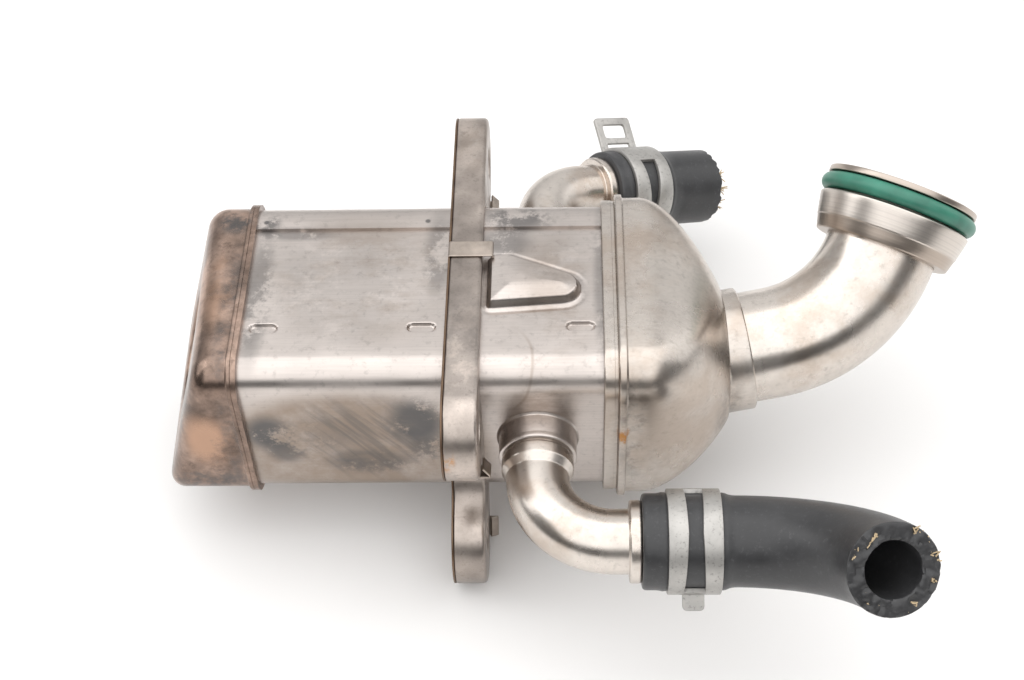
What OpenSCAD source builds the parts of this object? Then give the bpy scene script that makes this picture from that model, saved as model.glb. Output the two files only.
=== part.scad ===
// Exhaust gas cooler: a brazed box of flat gas tubes in a coolant jacket, held by a
// flange plate around its middle, with a gas elbow and two coolant pipes.
// X runs along the gas flow, Y to the back, Z up. The origin is on the axis of the
// jacket, at the sealing face of the flange plate.

/* [Jacket] */
// Width of the jacket, front to back
body_w = 58; // [56:1:64]
// Height of the jacket
body_h = 45.6; // [44:0.2:52]
// Outside corner radius of the jacket
corner_r = 6.8; // [6:0.2:9]
// Thickness of the jacket sheets
sheet_t = 0.8; // [0.6:0.1:1]
// Jacket length on the hot side of the sealing face
hot_len = 48.5; // [46:0.5:60]
// Jacket length on the cold side of the sealing face
cold_len = 38.6; // [38:0.2:50]
// Place across the jacket where the rear sheet begins to lap over the front sheet
lap_start = 18; // [15:0.5:19]
// Width of the lap between the two sheets
lap_w = 3; // [2:0.5:4]
// Distance between the three pressed dimples along the top
dimple_pitch = 37.3; // [34:0.1:38]
// Length of a pressed dimple
dimple_len = 6.4; // [5:0.2:8]
// Width of a pressed dimple
dimple_w = 2.4; // [2:0.1:3]
// Depth of a pressed dimple
dimple_deep = 0.5; // [0.3:0.1:0.6]
// Height of the pressed bulge beside the flange
bulge_high = 3; // [1:0.1:3.6]

/* [Tube bundle] */
// Thickness of the two tube plates
plate_t = 1.2; // [1:0.1:2]
// Gap between the gas tubes and the jacket's side walls
tube_side_room = 1.7; // [1.2:0.1:3]
// Height of a flat gas tube
tube_h = 5; // [4:0.2:6]
// Wall of a flat gas tube
tube_wall = 0.5; // [0.4:0.05:0.7]
// Rows of gas tubes
tube_rows = 5; // [3:1:5]
// Distance between rows
row_pitch = 8.2; // [7.4:0.1:8.4]
// Length of tube end that stands out of each tube plate
tube_end = 0.6; // [0.3:0.1:1.5]
// Distance between the walls of the folded fin
fin_pitch = 1.6; // [1.4:0.1:3]
// Thickness of the fin sheet
fin_t = 0.25; // [0.2:0.05:0.4]
// Thickness of the coolant baffle between the two columns of tubes
baffle_t = 1; // [0.8:0.1:1.6]
// Opening left at the hot end, where the coolant turns round the baffle
baffle_gap = 18; // [10:1:30]
// Place of the tube combs along the axis
comb_x = -22; // [-26:1:-14]
// Thickness of the tube combs
comb_t = 1; // [0.8:0.1:2]

/* [Inlet cap] */
// Depth of the cap at the middle of its slanted end
cap_deep = 15.8; // [12:0.2:20]
// Slant of the end, depth gained per unit of height
cap_slant = 0.3; // [0.1:0.02:0.34]
// Turn of the end, depth gained per unit towards the back
cap_turn = 0.04; // [0:0.01:0.06]
// Radius of the drawn edge round the end
cap_edge_r = 4.4; // [3.4:0.2:6.6]
// Thickness of the cap sheet
cap_t = 1.2; // [1:0.1:1.6]
// How far the cap's wall stands outside the jacket
cap_proud = 0.6; // [0.3:0.1:1]
// How far the rims at the hot end stand outside the jacket
rim_proud = 1.6; // [1.2:0.1:2.2]
// Thickness of the cap's rim
cap_lip_t = 1.1; // [0.8:0.1:2]
// Bore of the gas inlet
inlet_d = 28; // [22:0.5:30]
// Length of the drawn collar of the gas inlet
inlet_len = 5; // [3:0.2:7]

/* [Outlet cone] */
// How far the outlet tube plate's skirt stands outside the jacket
skirt_proud = 1.8; // [1.6:0.1:2.2]
// Length of the skirt over the jacket
skirt_len = 2.2; // [1.6:0.1:4]
// How far the cone's wall stands outside the jacket
cone_proud = 2.4; // [2.2:0.1:2.8]
// How far the cone's rim stands outside the jacket
cone_lip_proud = 3.3; // [3:0.1:4]
// Thickness of the cone's rim
cone_lip_t = 1.9; // [1.4:0.1:2.6]
// Straight length of the cone before it draws in
cone_straight = 4.5; // [3:0.1:8]
// Length over which the cone draws in to the neck
cone_draw = 20.4; // [16:0.2:24]
// Thickness of the cone sheet
cone_t = 1.2; // [1:0.1:1.6]
// Outside diameter of the neck
neck_od = 30.6; // [30:0.1:33]
// Length of the neck
neck_len = 5.7; // [4:0.1:8]
// Width of the flat end round the neck
neck_step = 1.4; // [1:0.1:2]
// Tilt of the cone's end towards the elbow's bend
cone_tilt = 3.5; // [0:0.5:5]
// Tilt of the neck towards the elbow's bend
neck_tilt = 10; // [0:1:12]
// How far the neck sits below the axis of the jacket
neck_drop = 3.4; // [0:0.2:4]

/* [Gas elbow] */
// Outside diameter of the gas pipe
gas_od = 27.4; // [26:0.1:28]
// Wall of the gas pipe
gas_wall = 1.2; // [1:0.1:1.6]
// Bend radius of the elbow
gas_bend_r = 36; // [34:0.5:44]
// Angle of the elbow
gas_bend_a = 58.5; // [40:0.5:80]
// Direction of the bend, turned up from the back
gas_bend_dir = 41.6; // [20:0.2:60]

/* [End fitting] */
// Diameter of the fitting at its foot
foot_d = 33.6; // [32:0.2:35]
// Diameter of the fitting at its step
step_d = 35.4; // [35:0.2:37]
// Height of the step above the foot
step_high = 3.2; // [2:0.2:4]
// Diameter of the fitting at its shoulder
shoulder_d = 38.2; // [37.2:0.2:40]
// Height of the shoulder above the foot
shoulder_high = 9.3; // [8:0.1:11]
// Diameter of the end lip
lip_d = 37.9; // [36:0.1:39]
// Thickness of the end lip
lip_t = 1.5; // [1:0.1:2]
// Cord of the sealing ring
ring_cord = 4.2; // [3:0.1:5]
// Outside diameter of the sealing ring
ring_od = 39.7; // [39:0.1:41]

/* [Flange plate] */
// Thickness of the flange plate
flange_t = 7.8; // [6:0.2:10]
// Width of the plate's rim round the jacket
flange_rim = 3.2; // [2.4:0.2:6]
// Radius of the bolt lobes
lobe_r = 12; // [10:0.5:14]
// Diameter of the bolt holes
bolt_d = 8.5; // [6.5:0.5:10]
// Rear bolt, distance behind the jacket
rear_bolt_out = 21.5; // [18:0.5:30]
// Upper front bolt, distance in front of the jacket
upper_bolt_out = 8; // [7:0.5:14]
// Lower front bolt, distance in front of the jacket
lower_bolt_out = 7.5; // [7:0.5:14]
// Lower front bolt, distance below the jacket
lower_bolt_down = 7.2; // [6:0.2:12]
// Radius of the hollow between the two front lobes
waist_r = 10.6; // [9.5:0.2:16]
// Radius of the fillet under the rear ear
ear_fillet_r = 8; // [4:0.5:10]

/* [Gasket] */
// Thickness of the gasket sheet
gasket_t = 0.5; // [0.3:0.1:0.8]
// Width of the clip tabs
tab_w = 5; // [3:0.2:6]
// How far the clip tabs reach past the flange plate
tab_over = 2.6; // [1.5:0.1:4]

/* [Coolant pipes] */
// Outside diameter of the coolant pipes
pipe_od = 14.6; // [13:0.1:16]
// Wall of the coolant pipes
pipe_wall = 1; // [0.8:0.1:1.4]
// Front pipe, place along the axis
front_pipe_x = 20.8; // [20:0.1:26]
// Rear pipe, place along the axis
rear_pipe_x = 22.1; // [20:0.1:26]
// Outside diameter of the drawn collar that holds a pipe
socket_od = 18.6; // [18:0.1:21]
// Height of the drawn collar
socket_high = 6.6; // [3:0.2:6.8]
// Outside diameter of the pipe's swaged shoulder
swage_od = 17; // [16.8:0.1:19]
// Bend radius of the coolant pipes
pipe_bend_r = 17.7; // [16:0.1:24]
// Straight length of the front pipe before its bend
front_stub = 12.1; // [12:0.1:16]
// Straight length of the rear pipe before its bend
rear_stub = 12.7; // [12:0.1:16]
// Angle of the rear pipe's bend
rear_bend_a = 65; // [45:1:90]
// Downward turn of the rear pipe's bend
rear_bend_down = 23.5; // [0:0.5:45]
// Diameter of the stop bead on each pipe
stop_bead_d = 18.8; // [17.6:0.1:20]
// Width of the stop bead
stop_bead_w = 2.8; // [1.6:0.1:3]
// Straight length of the front pipe between bend and stop bead
front_run = 3; // [1:0.1:6]
// Straight length of the rear pipe between bend and stop bead
rear_run = 4.2; // [1:0.1:6]
// Length of pipe inside a hose
pipe_insert = 18; // [14:0.5:22]

/* [Hoses] */
// Outside diameter of a hose where the pipe stretches it
hose_od = 21.8; // [20:0.1:24]
// Outside diameter of a hose past the pipe's end
hose_free_od = 20.6; // [19:0.1:21.6]
// Bore of a hose past the pipe's end
hose_bore = 12.6; // [11:0.1:13]
// Straight length of the front hose
front_hose_len = 20; // [18:0.5:26]
// Bend radius of the front hose
hose_bend_r = 32; // [24:0.5:40]
// Bend angle of the front hose
hose_bend_a = 81; // [40:1:90]
// Direction of the front hose's bend, turned up from the front
hose_bend_dir = 43; // [0:1:80]
// Length of the rear hose stub
rear_hose_len = 34.9; // [30:0.1:50]

/* [Hose clamps] */
// Width of the clamp band
band_w = 12; // [10:0.5:14]
// Thickness of the clamp band
band_t = 1; // [0.8:0.1:1.4]
// Front clamp, distance from the hose's end
front_clamp_at = 5.6; // [2:0.1:6]
// Rear clamp, distance from the hose's end
rear_clamp_at = 4.3; // [3:0.1:6]
// Slot in the band at its narrow end
slot_narrow = 2.2; // [1.5:0.1:3]
// Slot in the band at its wide end
slot_wide = 4.8; // [3.5:0.1:6]
// Width of the tongue's ear
tongue_w = 5; // [4:0.1:6]
// Height of the tongue's ear
tongue_high = 3.8; // [3:0.1:6]
// Width of the wide ear
ear_w = 11.8; // [10:0.1:11.8]
// Height of the wide ear
ear_high = 10; // [8:0.1:12]
// Width of the window in the wide ear
ear_window_w = 7.4; // [4:0.1:8]
// Height of the window in the wide ear
ear_window_high = 4; // [2.5:0.1:4.4]
// Height of the gap at the foot of the wide ear
ear_foot_high = 1.6; // [1:0.1:2]

/* [Fits] */
// Gap between brazed pieces
braze_gap = 0.05; // [0.02:0.01:0.1]
// Gap between a hose and what it is pushed over, and between a clamp and its hose
push_gap = 0.03; // [0.02:0.01:0.1]
// Gap between the gasket's hole and the jacket
gasket_gap = 0.5; // [0.3:0.1:1]
// Room between the coolant baffle and the tubes on each side of it
baffle_room = 1.4; // [1:0.1:1.6]

/* [Hidden] */
tube_count = 2 * tube_rows;
tube_names = [for (i = [1:tube_count]) str("gas_tube_", i)];
fin_names = [for (i = [1:tube_count]) str("fin_", i)];

$fn = 64;
big = 200;
arc_steps = 8;
steel = "silver";
tinted_steel = "peru";
rubber = "dimgray";

// A straight pipe end overlaps its bend by this length and stands proud of it by this step
fuse_len = 0.5;
fuse_step = 0.1;

// Stations along the axis
hot_plate_x = -hot_len - plate_t;
cold_plate_x = cold_len + plate_t;
cone_x = cold_plate_x + cone_lip_t;
draw_x = cone_x + cone_straight;
neck_x = draw_x + cone_draw;
cap_end_x = hot_plate_x - cap_lip_t - cap_deep;
neck_r = neck_od / 2;
gas_r = gas_od / 2;
pipe_r = pipe_od / 2;
pipe_bore_r = pipe_r - pipe_wall;
pipe_end_r = pipe_r + fuse_step;
hose_r = hose_od / 2;
free_r = hose_free_od / 2;
hose_bore_r = hose_bore / 2;
clamp_r = hose_r + push_gap;
tube_w = body_w / 2 - sheet_t - tube_side_room - baffle_t / 2 - baffle_room;
column_y = baffle_t / 2 + baffle_room + tube_w / 2;
front_face_y = -body_w / 2;
rear_face_y = body_w / 2;
stop_bead_x = front_pipe_x + pipe_bend_r + front_run;
front_hose_x = stop_bead_x + stop_bead_w + push_gap;
front_run_y = front_face_y - front_stub - pipe_bend_r;

// Bolt places on the flange plate, across and up
flange_top = body_h / 2 + flange_rim;
rear_bolt = [rear_face_y + rear_bolt_out, flange_top - lobe_r];
upper_bolt = [front_face_y - upper_bolt_out, flange_top - lobe_r];
lower_bolt = [front_face_y - lower_bolt_out, -body_h / 2 - lower_bolt_down];
bolt_places = [rear_bolt, upper_bolt, lower_bolt];

// Point on a circle in the flange's plane
function on_circle(c, r, a) = c + r * [cos(a), sin(a)];

// Angle of the outer tangent from one circle to the next, for circles in turn to the left
function tangent_a(c1, r1, c2, r2) =
    let (span = c2 - c1)
    atan2(span[1], span[0]) - acos((r1 - r2) / norm(span));

// Corner points of a belt round a list of circles
function round_loop(centres, radii) = [
    for (i = [0:len(centres) - 1])
        let (
            k = len(centres),
            p = (i + k - 1) % k,
            q = (i + 1) % k,
            from = tangent_a(centres[p], radii[p], centres[i], radii[i]),
            to = tangent_a(centres[i], radii[i], centres[q], radii[q]),
            sweep = ((to - from) % 360 + 360) % 360)
        for (s = [0:arc_steps]) on_circle(centres[i], radii[i], from + sweep * s / arc_steps)
];

// Outline of a rounded rectangle across the axis; lean moves each point along X by its height,
// and turn by its place towards the back
function ring(x, w, h, r, lean = 0, up = 0, turn = 0) = [
    for (q = [0:3])
        for (i = [0:arc_steps])
            let (
                a = 90 * (q + i / arc_steps),
                y = (q == 0 || q == 3 ? 1 : -1) * (w / 2 - r) + r * cos(a),
                z = (q < 2 ? 1 : -1) * (h / 2 - r) + r * sin(a))
            [x + lean * z - turn * y, y, z + up]
];

// Closed solid through a list of rings with the same number of points
module loft(rings) {
    n = len(rings[0]);
    last = len(rings) - 1;
    sides = [
        for (k = [0:last - 1])
            for (i = [0:n - 1])
                let (j = (i + 1) % n, a = k * n + i, b = k * n + j, c = a + n, d = b + n)
                each [[a, c, b], [b, c, d]]
    ];
    near_end = [for (i = [0:n - 1]) i];
    far_end = [for (i = [n - 1:-1:0]) last * n + i];
    polyhedron([for (one = rings) each one], concat(sides, [near_end, far_end]));
}

// Flat rounded rectangle with true arcs
module rounded_rect(w, h, r) {
    square([w - 2 * r, h], center = true);
    square([w, h - 2 * r], center = true);
    for (sy = [-1, 1], sz = [-1, 1])
        translate([sy * (w / 2 - r), sz * (h / 2 - r)]) circle(r);
}

// Flat capsule along the first axis
module capsule(len, w) {
    square([len - w, w], center = true);
    for (s = [-1, 1]) translate([s * (len - w) / 2, 0]) circle(w / 2);
}

// Two circles and the strip between their outer tangents
module strap(c1, r1, c2, r2) {
    span = c2 - c1;
    along = atan2(span[1], span[0]);
    open = acos((r1 - r2) / norm(span));
    translate(c1) circle(r1);
    translate(c2) circle(r2);
    polygon([
        on_circle(c1, r1, along + open), on_circle(c1, r1, along - open),
        on_circle(c2, r2, along - open), on_circle(c2, r2, along + open)]);
}

// Extrudes a flat outline along X; the outline's first axis lies along Y
module along_x(x0, x1) {
    translate([x0, 0, 0]) rotate([90, 0, 90]) linear_extrude(x1 - x0) children();
}

// Half plane behind a place across the jacket
module behind(y) {
    translate([y, -big / 2]) square(big);
}

// Outline of both jacket sheets together, grown by a gap
module jacket_outline(gap) {
    rounded_rect(body_w + 2 * gap, body_h + 2 * gap, corner_r + gap);
    intersection() {
        rounded_rect(body_w + 2 * gap, body_h + 2 * (sheet_t + gap), corner_r + sheet_t + gap);
        behind(lap_start - gap);
    }
}

// Outline that stands outside the jacket by one amount all round
module outside_jacket(out) {
    rounded_rect(body_w + 2 * out, body_h + 2 * out, corner_r + out);
}

// Hollow round bar along Z from a profile of [radius, height] points
module turned(profile) {
    rotate_extrude() polygon(profile);
}

// Bent tube: starts at the origin along +X and bends towards +Y
module bent_tube(bend_r, bend_a, outer_r, inner_r) {
    translate([0, bend_r, 0]) rotate([0, 0, -90]) rotate_extrude(angle = bend_a) translate([bend_r, 0])
        difference() {
            circle(outer_r);
            circle(inner_r);
        }
}

// Straight end of a bent tube, along +Z; it overlaps the bend by a short length and stands a hair
// proud of it inside and outside, so that the two fuse
module straight_end(len, outer_r, inner_r) {
    translate([0, 0, -fuse_len]) tube(len + fuse_len, outer_r + fuse_step, inner_r - fuse_step);
}

// Moves children to the far end of such a bend, with +Z along the way out
module after_bend(bend_r, bend_a) {
    translate([bend_r * sin(bend_a), bend_r * (1 - cos(bend_a)), 0])
        rotate([0, 0, bend_a]) rotate([0, 90, 0]) children();
}

// Straight tube along Z
module tube(len, outer_r, inner_r) {
    linear_extrude(len) difference() {
        circle(outer_r);
        circle(inner_r);
    }
}

// Places of the gas tubes: the front column first, each from the bottom up
function tube_place(i) = [
    (i <= tube_rows ? -1 : 1) * column_y,
    ((i - 1) % tube_rows - (tube_rows - 1) / 2) * row_pitch
];

// Slots for all gas tubes, or for one side only
module tube_slots(from = 1, to = tube_count) {
    for (i = [from:to]) translate(tube_place(i)) capsule(tube_w + 2 * braze_gap, tube_h + 2 * braze_gap);
}

// Inlet cap: drawn cup with a slanted end and a rim
module cap_solid(shrink, end_x, open_x) {
    w = body_w + 2 * (cap_proud - shrink);
    h = body_h + 2 * (cap_proud - shrink);
    r = corner_r + cap_proud - shrink;
    edge = cap_edge_r - shrink;
    loft(concat(
        [for (a = [90:-15:0])
            let (inset = edge * (1 - cos(a)))
            ring(end_x + edge * (1 - sin(a)), w - 2 * inset, h - 2 * inset, r - inset, cap_slant, 0, cap_turn)],
        [ring(open_x, w, h, r)]));
}

// Frame at the middle of the cap's end, with +Z into the cap, square to the end
module inlet_bore_frame() {
    slant_a = atan2(cap_slant, norm([1, cap_turn]));
    translate([cap_end_x, 0, 0]) rotate([0, 90 + slant_a, atan(cap_turn)]) children();
}

module inlet_cap() {
    color(tinted_steel) difference() {
        union() {
            difference() {
                union() {
                    cap_solid(0, cap_end_x, hot_plate_x);
                    along_x(hot_plate_x - cap_lip_t, hot_plate_x) outside_jacket(rim_proud);
                }
                cap_solid(cap_t, cap_end_x + cap_t, hot_plate_x + 1);
            }
            inlet_bore_frame() translate([0, 0, cap_t / 4]) cylinder(r = inlet_d / 2 + cap_t, h = inlet_len);
        }
        inlet_bore_frame() translate([0, 0, -inlet_len]) cylinder(d = inlet_d, h = 3 * inlet_len);
    }
}

module inlet_tube_plate() {
    color(steel) along_x(hot_plate_x, -hot_len) difference() {
        outside_jacket(rim_proud);
        tube_slots();
    }
}

// Bulge pressed out of the top sheet beside the flange; its walls draw in towards bulge_mid
bulge_step = 0.2;
bulge_x = flange_t + tab_over - bulge_step;
bulge_corner_r = 1.5;
bulge_nose_r = 5;
bulge_nose_x = 16.4;
bulge_nose_y = -2.3;
bulge_back_x = 3.8;
bulge_back_y = 7;
bulge_side_y = 6.8;
bulge_front_y = -7.1;
bulge_mid_x = 7;
bulge_centres = [[bulge_x, bulge_front_y], [bulge_x + bulge_nose_x, bulge_nose_y],
                 [bulge_x + bulge_back_x, bulge_back_y], [bulge_x, bulge_side_y]];
bulge_mid = [bulge_x + bulge_mid_x, 0];
bulge_top_share = 0.74;
module bulge_outline(grow) {
    small = bulge_corner_r + grow;
    nose = bulge_nose_r + grow;
    polygon(round_loop(bulge_centres, [small, nose, small, small]));
}

module bulge(shrink) {
    translate([bulge_mid[0], bulge_mid[1], body_h / 2 - sheet_t])
        linear_extrude(bulge_high + sheet_t - shrink, scale = bulge_top_share)
            translate(-bulge_mid) bulge_outline(-shrink);
}

// Row of pressed dimples, or of their hollows
dimple_y = -13.8;
dimple_mid_x = -6.2;
module dimple_row(grow, z0, high) {
    for (i = [-1:1])
        translate([dimple_mid_x + i * dimple_pitch, dimple_y, z0])
            linear_extrude(high) capsule(dimple_len + grow, dimple_w + grow);
}

// Drawn collar round a coolant pipe on a side face; side is -1 at the front and 1 at the back
function socket_x(side) = side < 0 ? front_pipe_x : rear_pipe_x;

module pipe_socket(side) {
    translate([socket_x(side), side * (body_w / 2 - sheet_t), 0]) rotate([-90 * side, 0, 0])
        cylinder(d = socket_od, h = socket_high + sheet_t);
}

module pipe_hole(side) {
    translate([socket_x(side), side * (body_w / 2 - 2 * sheet_t), 0]) rotate([-90 * side, 0, 0])
        cylinder(r = pipe_r + braze_gap, h = socket_high + 4 * sheet_t);
}

module front_jacket_sheet() {
    dimple_floor = body_h / 2 - dimple_deep;
    color(steel) difference() {
        union() {
            along_x(-hot_len, cold_len) difference() {
                rounded_rect(body_w, body_h, corner_r);
                rounded_rect(body_w - 2 * sheet_t, body_h - 2 * sheet_t, corner_r - sheet_t);
                behind(lap_start + lap_w);
            }
            bulge(0);
            dimple_row(sheet_t, dimple_floor - sheet_t, dimple_deep + sheet_t / 2);
            pipe_socket(-1);
        }
        translate([0, 0, -sheet_t / 8]) bulge(sheet_t);
        dimple_row(0, dimple_floor, 1 + dimple_deep);
        pipe_hole(-1);
    }
}

module rear_jacket_sheet() {
    color(steel) difference() {
        union() {
            along_x(-hot_len, cold_len) intersection() {
                difference() {
                    rounded_rect(body_w, body_h + 2 * sheet_t, corner_r + sheet_t);
                    rounded_rect(body_w - 2 * sheet_t, body_h, corner_r);
                }
                behind(lap_start);
            }
            pipe_socket(1);
        }
        pipe_hole(1);
    }
}

module outlet_tube_plate() {
    skirt_x = cold_len - skirt_len;
    color(steel) {
        along_x(cold_len, cold_plate_x) difference() {
            outside_jacket(skirt_proud);
            tube_slots();
        }
        along_x(skirt_x, cold_len) difference() {
            outside_jacket(skirt_proud);
            jacket_outline(braze_gap);
        }
    }
}

// Outlet cone: how much of the box is left part way along the draw, 1 at the box and 0 at the neck
draw_full = 1.65;
draw_round = 1.1;
function draw_share(u) = pow(1 - pow(u, draw_full), 1 / draw_round);

cone_flat = 0.05;
module cone_solid(shrink, open_x) {
    w0 = body_w + 2 * (cone_proud - shrink);
    h0 = body_h + 2 * (cone_proud - shrink);
    r0 = corner_r + cone_proud - shrink;
    end_r = neck_r + neck_step - shrink;
    end_lean = -tan(cone_tilt) * sin(gas_bend_dir);
    end_turn = tan(cone_tilt) * cos(gas_bend_dir);
    steps = [0, 0.12, 0.25, 0.38, 0.5, 0.62, 0.74, 0.85, 0.93, 0.98, 1];
    loft(concat(
        [ring(open_x, w0, h0, r0)],
        [for (u = steps)
            let (share = draw_share(u), wide = 2 * (end_r + cone_flat))
            ring(draw_x + cone_draw * u - shrink * u, wide + (w0 - wide) * share, wide + (h0 - wide) * share,
                 end_r + (r0 - end_r) * share, end_lean * (1 - share), -neck_drop * (1 - share),
                 end_turn * (1 - share))]));
}

// Frame at the foot of the tilted neck, with +X along the neck
neck_root = 6;
module neck_frame() {
    translate([neck_x, 0, -neck_drop]) rotate([gas_bend_dir, 0, 0]) rotate([0, 0, neck_tilt]) children();
}

module outlet_cone() {
    neck_bore_r = gas_r + fuse_step + braze_gap;
    color(steel) difference() {
        union() {
            cone_solid(0, cold_plate_x);
            along_x(cold_plate_x, cone_x) outside_jacket(cone_lip_proud);
            neck_frame() rotate([0, 90, 0]) translate([0, 0, -neck_root]) cylinder(r = neck_r, h = neck_len + neck_root);
        }
        cone_solid(cone_t, cold_plate_x - 1);
        neck_frame() rotate([0, 90, 0]) translate([0, 0, -2 * neck_root]) cylinder(r = neck_bore_r, h = 4 * neck_root);
    }
}

// Gas elbow: leaves the neck, then bends towards the back and up
gas_start = 12.13;
gas_inside = gas_start + 1;
module elbow_frame() {
    neck_frame() translate([gas_start, 0, 0]) children();
}

fitting_bore_r = gas_r + fuse_step + braze_gap;
fitting_seat = 7;
gas_run = 0.63;
module fitting_frame() {
    elbow_frame() after_bend(gas_bend_r, gas_bend_a) translate([0, 0, gas_run]) children();
}

module gas_elbow() {
    bore_r = gas_r - gas_wall;
    color(steel) elbow_frame() {
        rotate([0, -90, 0]) straight_end(gas_inside, gas_r, bore_r);
        bent_tube(gas_bend_r, gas_bend_a, gas_r, bore_r);
        after_bend(gas_bend_r, gas_bend_a) straight_end(gas_run + fitting_seat, gas_r, bore_r);
    }
}

groove_r = ring_od / 2 - ring_cord - push_gap;
groove_room = 0.4;
groove_foot = shoulder_high + groove_room;
lip_foot = groove_foot + ring_cord + groove_room;
step_rise = 0.3;
step_out = 0.2;
module end_fitting() {
    bore_r = gas_r - gas_wall;
    color(steel) fitting_frame() turned([
        [fitting_bore_r, 0], [foot_d / 2, 0], [step_d / 2, step_high], [step_d / 2 + step_out, step_high + step_rise],
        [shoulder_d / 2, shoulder_high], [groove_r, groove_foot], [groove_r, lip_foot],
        [lip_d / 2, lip_foot], [lip_d / 2, lip_foot + lip_t], [bore_r, lip_foot + lip_t],
        [bore_r, fitting_seat + braze_gap], [fitting_bore_r, fitting_seat + braze_gap]]);
}

module sealing_ring() {
    color("seagreen") fitting_frame()
        translate([0, 0, (groove_foot + lip_foot) / 2])
            rotate_extrude() translate([(ring_od - ring_cord) / 2, 0]) circle(d = ring_cord);
}

// Outline of the flange plate and its gasket
module flange_outline() {
    mid = (upper_bolt + lower_bolt) / 2;
    half = norm(upper_bolt - lower_bolt) / 2;
    reach = sqrt(pow(lobe_r + waist_r, 2) - half * half);
    waist = mid - [reach, 0];
    corner = [front_face_y + corner_r, -body_h / 2 + corner_r];
    ear_back = rear_face_y + flange_rim;
    outside_jacket(flange_rim);
    translate(upper_bolt) circle(lobe_r);
    translate([upper_bolt[0], flange_top - 2 * lobe_r]) square([-upper_bolt[0], 2 * lobe_r]);
    strap(lower_bolt, lobe_r, corner, corner_r + flange_rim);
    difference() {
        polygon([upper_bolt, waist, lower_bolt, corner, [corner[0], upper_bolt[1]]]);
        translate(waist) circle(waist_r);
    }
    translate(rear_bolt) circle(lobe_r);
    translate([0, flange_top - 2 * lobe_r]) square([rear_bolt[0], 2 * lobe_r]);
    difference() {
        translate([ear_back, flange_top - 2 * lobe_r - ear_fillet_r]) square(ear_fillet_r);
        translate([ear_back + ear_fillet_r, flange_top - 2 * lobe_r - ear_fillet_r]) circle(ear_fillet_r);
    }
}

module bolt_holes(d) {
    for (p = bolt_places) translate(p) circle(d = d);
}

module flange_plate() {
    color("gray") along_x(0, flange_t) difference() {
        flange_outline();
        jacket_outline(braze_gap);
        bolt_holes(bolt_d);
    }
}

// Clip tab that wraps over the flange plate's edge: place on the outline, its outward angle, and the
// length and lean of its end fold
tab_root = 1;
module clip_tab(place, out_a, fold_len, fold_a) {
    x0 = -gasket_t;
    x1 = flange_t + tab_over;
    translate([0, place[0], place[1]]) rotate([out_a - 90, 0, 0]) {
        translate([x0, -tab_w / 2, push_gap]) cube([x1 - x0, tab_w, gasket_t]);
        translate([x0, -tab_w / 2, -tab_root]) cube([gasket_t, tab_w, tab_root + push_gap + gasket_t]);
        translate([x1, -tab_w / 2, push_gap + gasket_t]) rotate([0, fold_a, 0])
            translate([-gasket_t, 0, 0]) rotate([0, 90, 0]) cube([fold_len, tab_w, gasket_t]);
    }
}

// Places of the clip tabs: across the top edge, under the rear ear, and round the two front lobes; the
// leaning end folds stop just short of the flange plate
top_tab_y = 8;
upper_tab_a = 252;
lower_tab_a = -45;
short_fold = 1;
fold_lean = 40;
rest_fold = (tab_over - push_gap - gasket_t * cos(fold_lean)) / sin(fold_lean);
module flange_gasket() {
    color("rosybrown") {
        along_x(-gasket_t, 0) difference() {
            flange_outline();
            jacket_outline(gasket_gap);
            bolt_holes(bolt_d + gasket_gap);
        }
        clip_tab([top_tab_y, flange_top], 90, short_fold, 0);
        clip_tab(rear_bolt - [0.8 * tab_w, lobe_r], -90, rest_fold, fold_lean);
        clip_tab(on_circle(upper_bolt, lobe_r, upper_tab_a), upper_tab_a, rest_fold, fold_lean);
        clip_tab(on_circle(lower_bolt, lobe_r, lower_tab_a), lower_tab_a, rest_fold, fold_lean);
    }
}

// Flat gas tubes with a folded fin in each
module gas_tube(i) {
    color(steel) along_x(hot_plate_x - tube_end, cold_plate_x + tube_end) translate(tube_place(i)) difference() {
        capsule(tube_w, tube_h);
        capsule(tube_w - 2 * tube_wall, tube_h - 2 * tube_wall);
    }
}

module fin(i) {
    fin_h = tube_h - 2 * tube_wall - 2 * braze_gap;
    folds = floor((tube_w - tube_h) / fin_pitch);
    start = -folds * fin_pitch / 2;
    color("gainsboro") along_x(hot_plate_x, cold_plate_x) translate(tube_place(i)) {
        for (k = [0:folds])
            translate([start + k * fin_pitch - fin_t / 2, -fin_h / 2]) square([fin_t, fin_h]);
        for (k = [0:folds - 1])
            translate([start + k * fin_pitch, (k % 2 == 0 ? fin_h / 2 - fin_t : -fin_h / 2)])
                square([fin_pitch, fin_t]);
    }
}

inner_top = body_h / 2 - sheet_t - braze_gap;
module coolant_baffle() {
    color(steel) translate([-hot_len + baffle_gap, -baffle_t / 2, -inner_top])
        cube([cold_len + hot_len - baffle_gap, baffle_t, 2 * inner_top]);
}

// Comb that spaces the tubes of one column; side is -1 at the front and 1 at the back
module tube_comb(side) {
    y0 = baffle_t / 2 + braze_gap;
    y1 = body_w / 2 - sheet_t - braze_gap;
    from = side < 0 ? 1 : tube_rows + 1;
    window_w = tube_w / 2;
    window_h = (row_pitch - tube_h) / 2;
    color(steel) along_x(comb_x, comb_x + comb_t) difference() {
        intersection() {
            rounded_rect(2 * y1, 2 * inner_top, corner_r - sheet_t);
            translate([side * (y0 + y1) / 2, 0]) square([y1 - y0, 2 * inner_top], center = true);
        }
        tube_slots(from, from + tube_rows - 1);
        for (k = [0:tube_rows - 2])
            translate([side * column_y, (k - (tube_rows - 2) / 2) * row_pitch]) capsule(window_w, window_h);
    }
}

module front_tube_comb() {
    tube_comb(-1);
}

module rear_tube_comb() {
    tube_comb(1);
}

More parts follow.
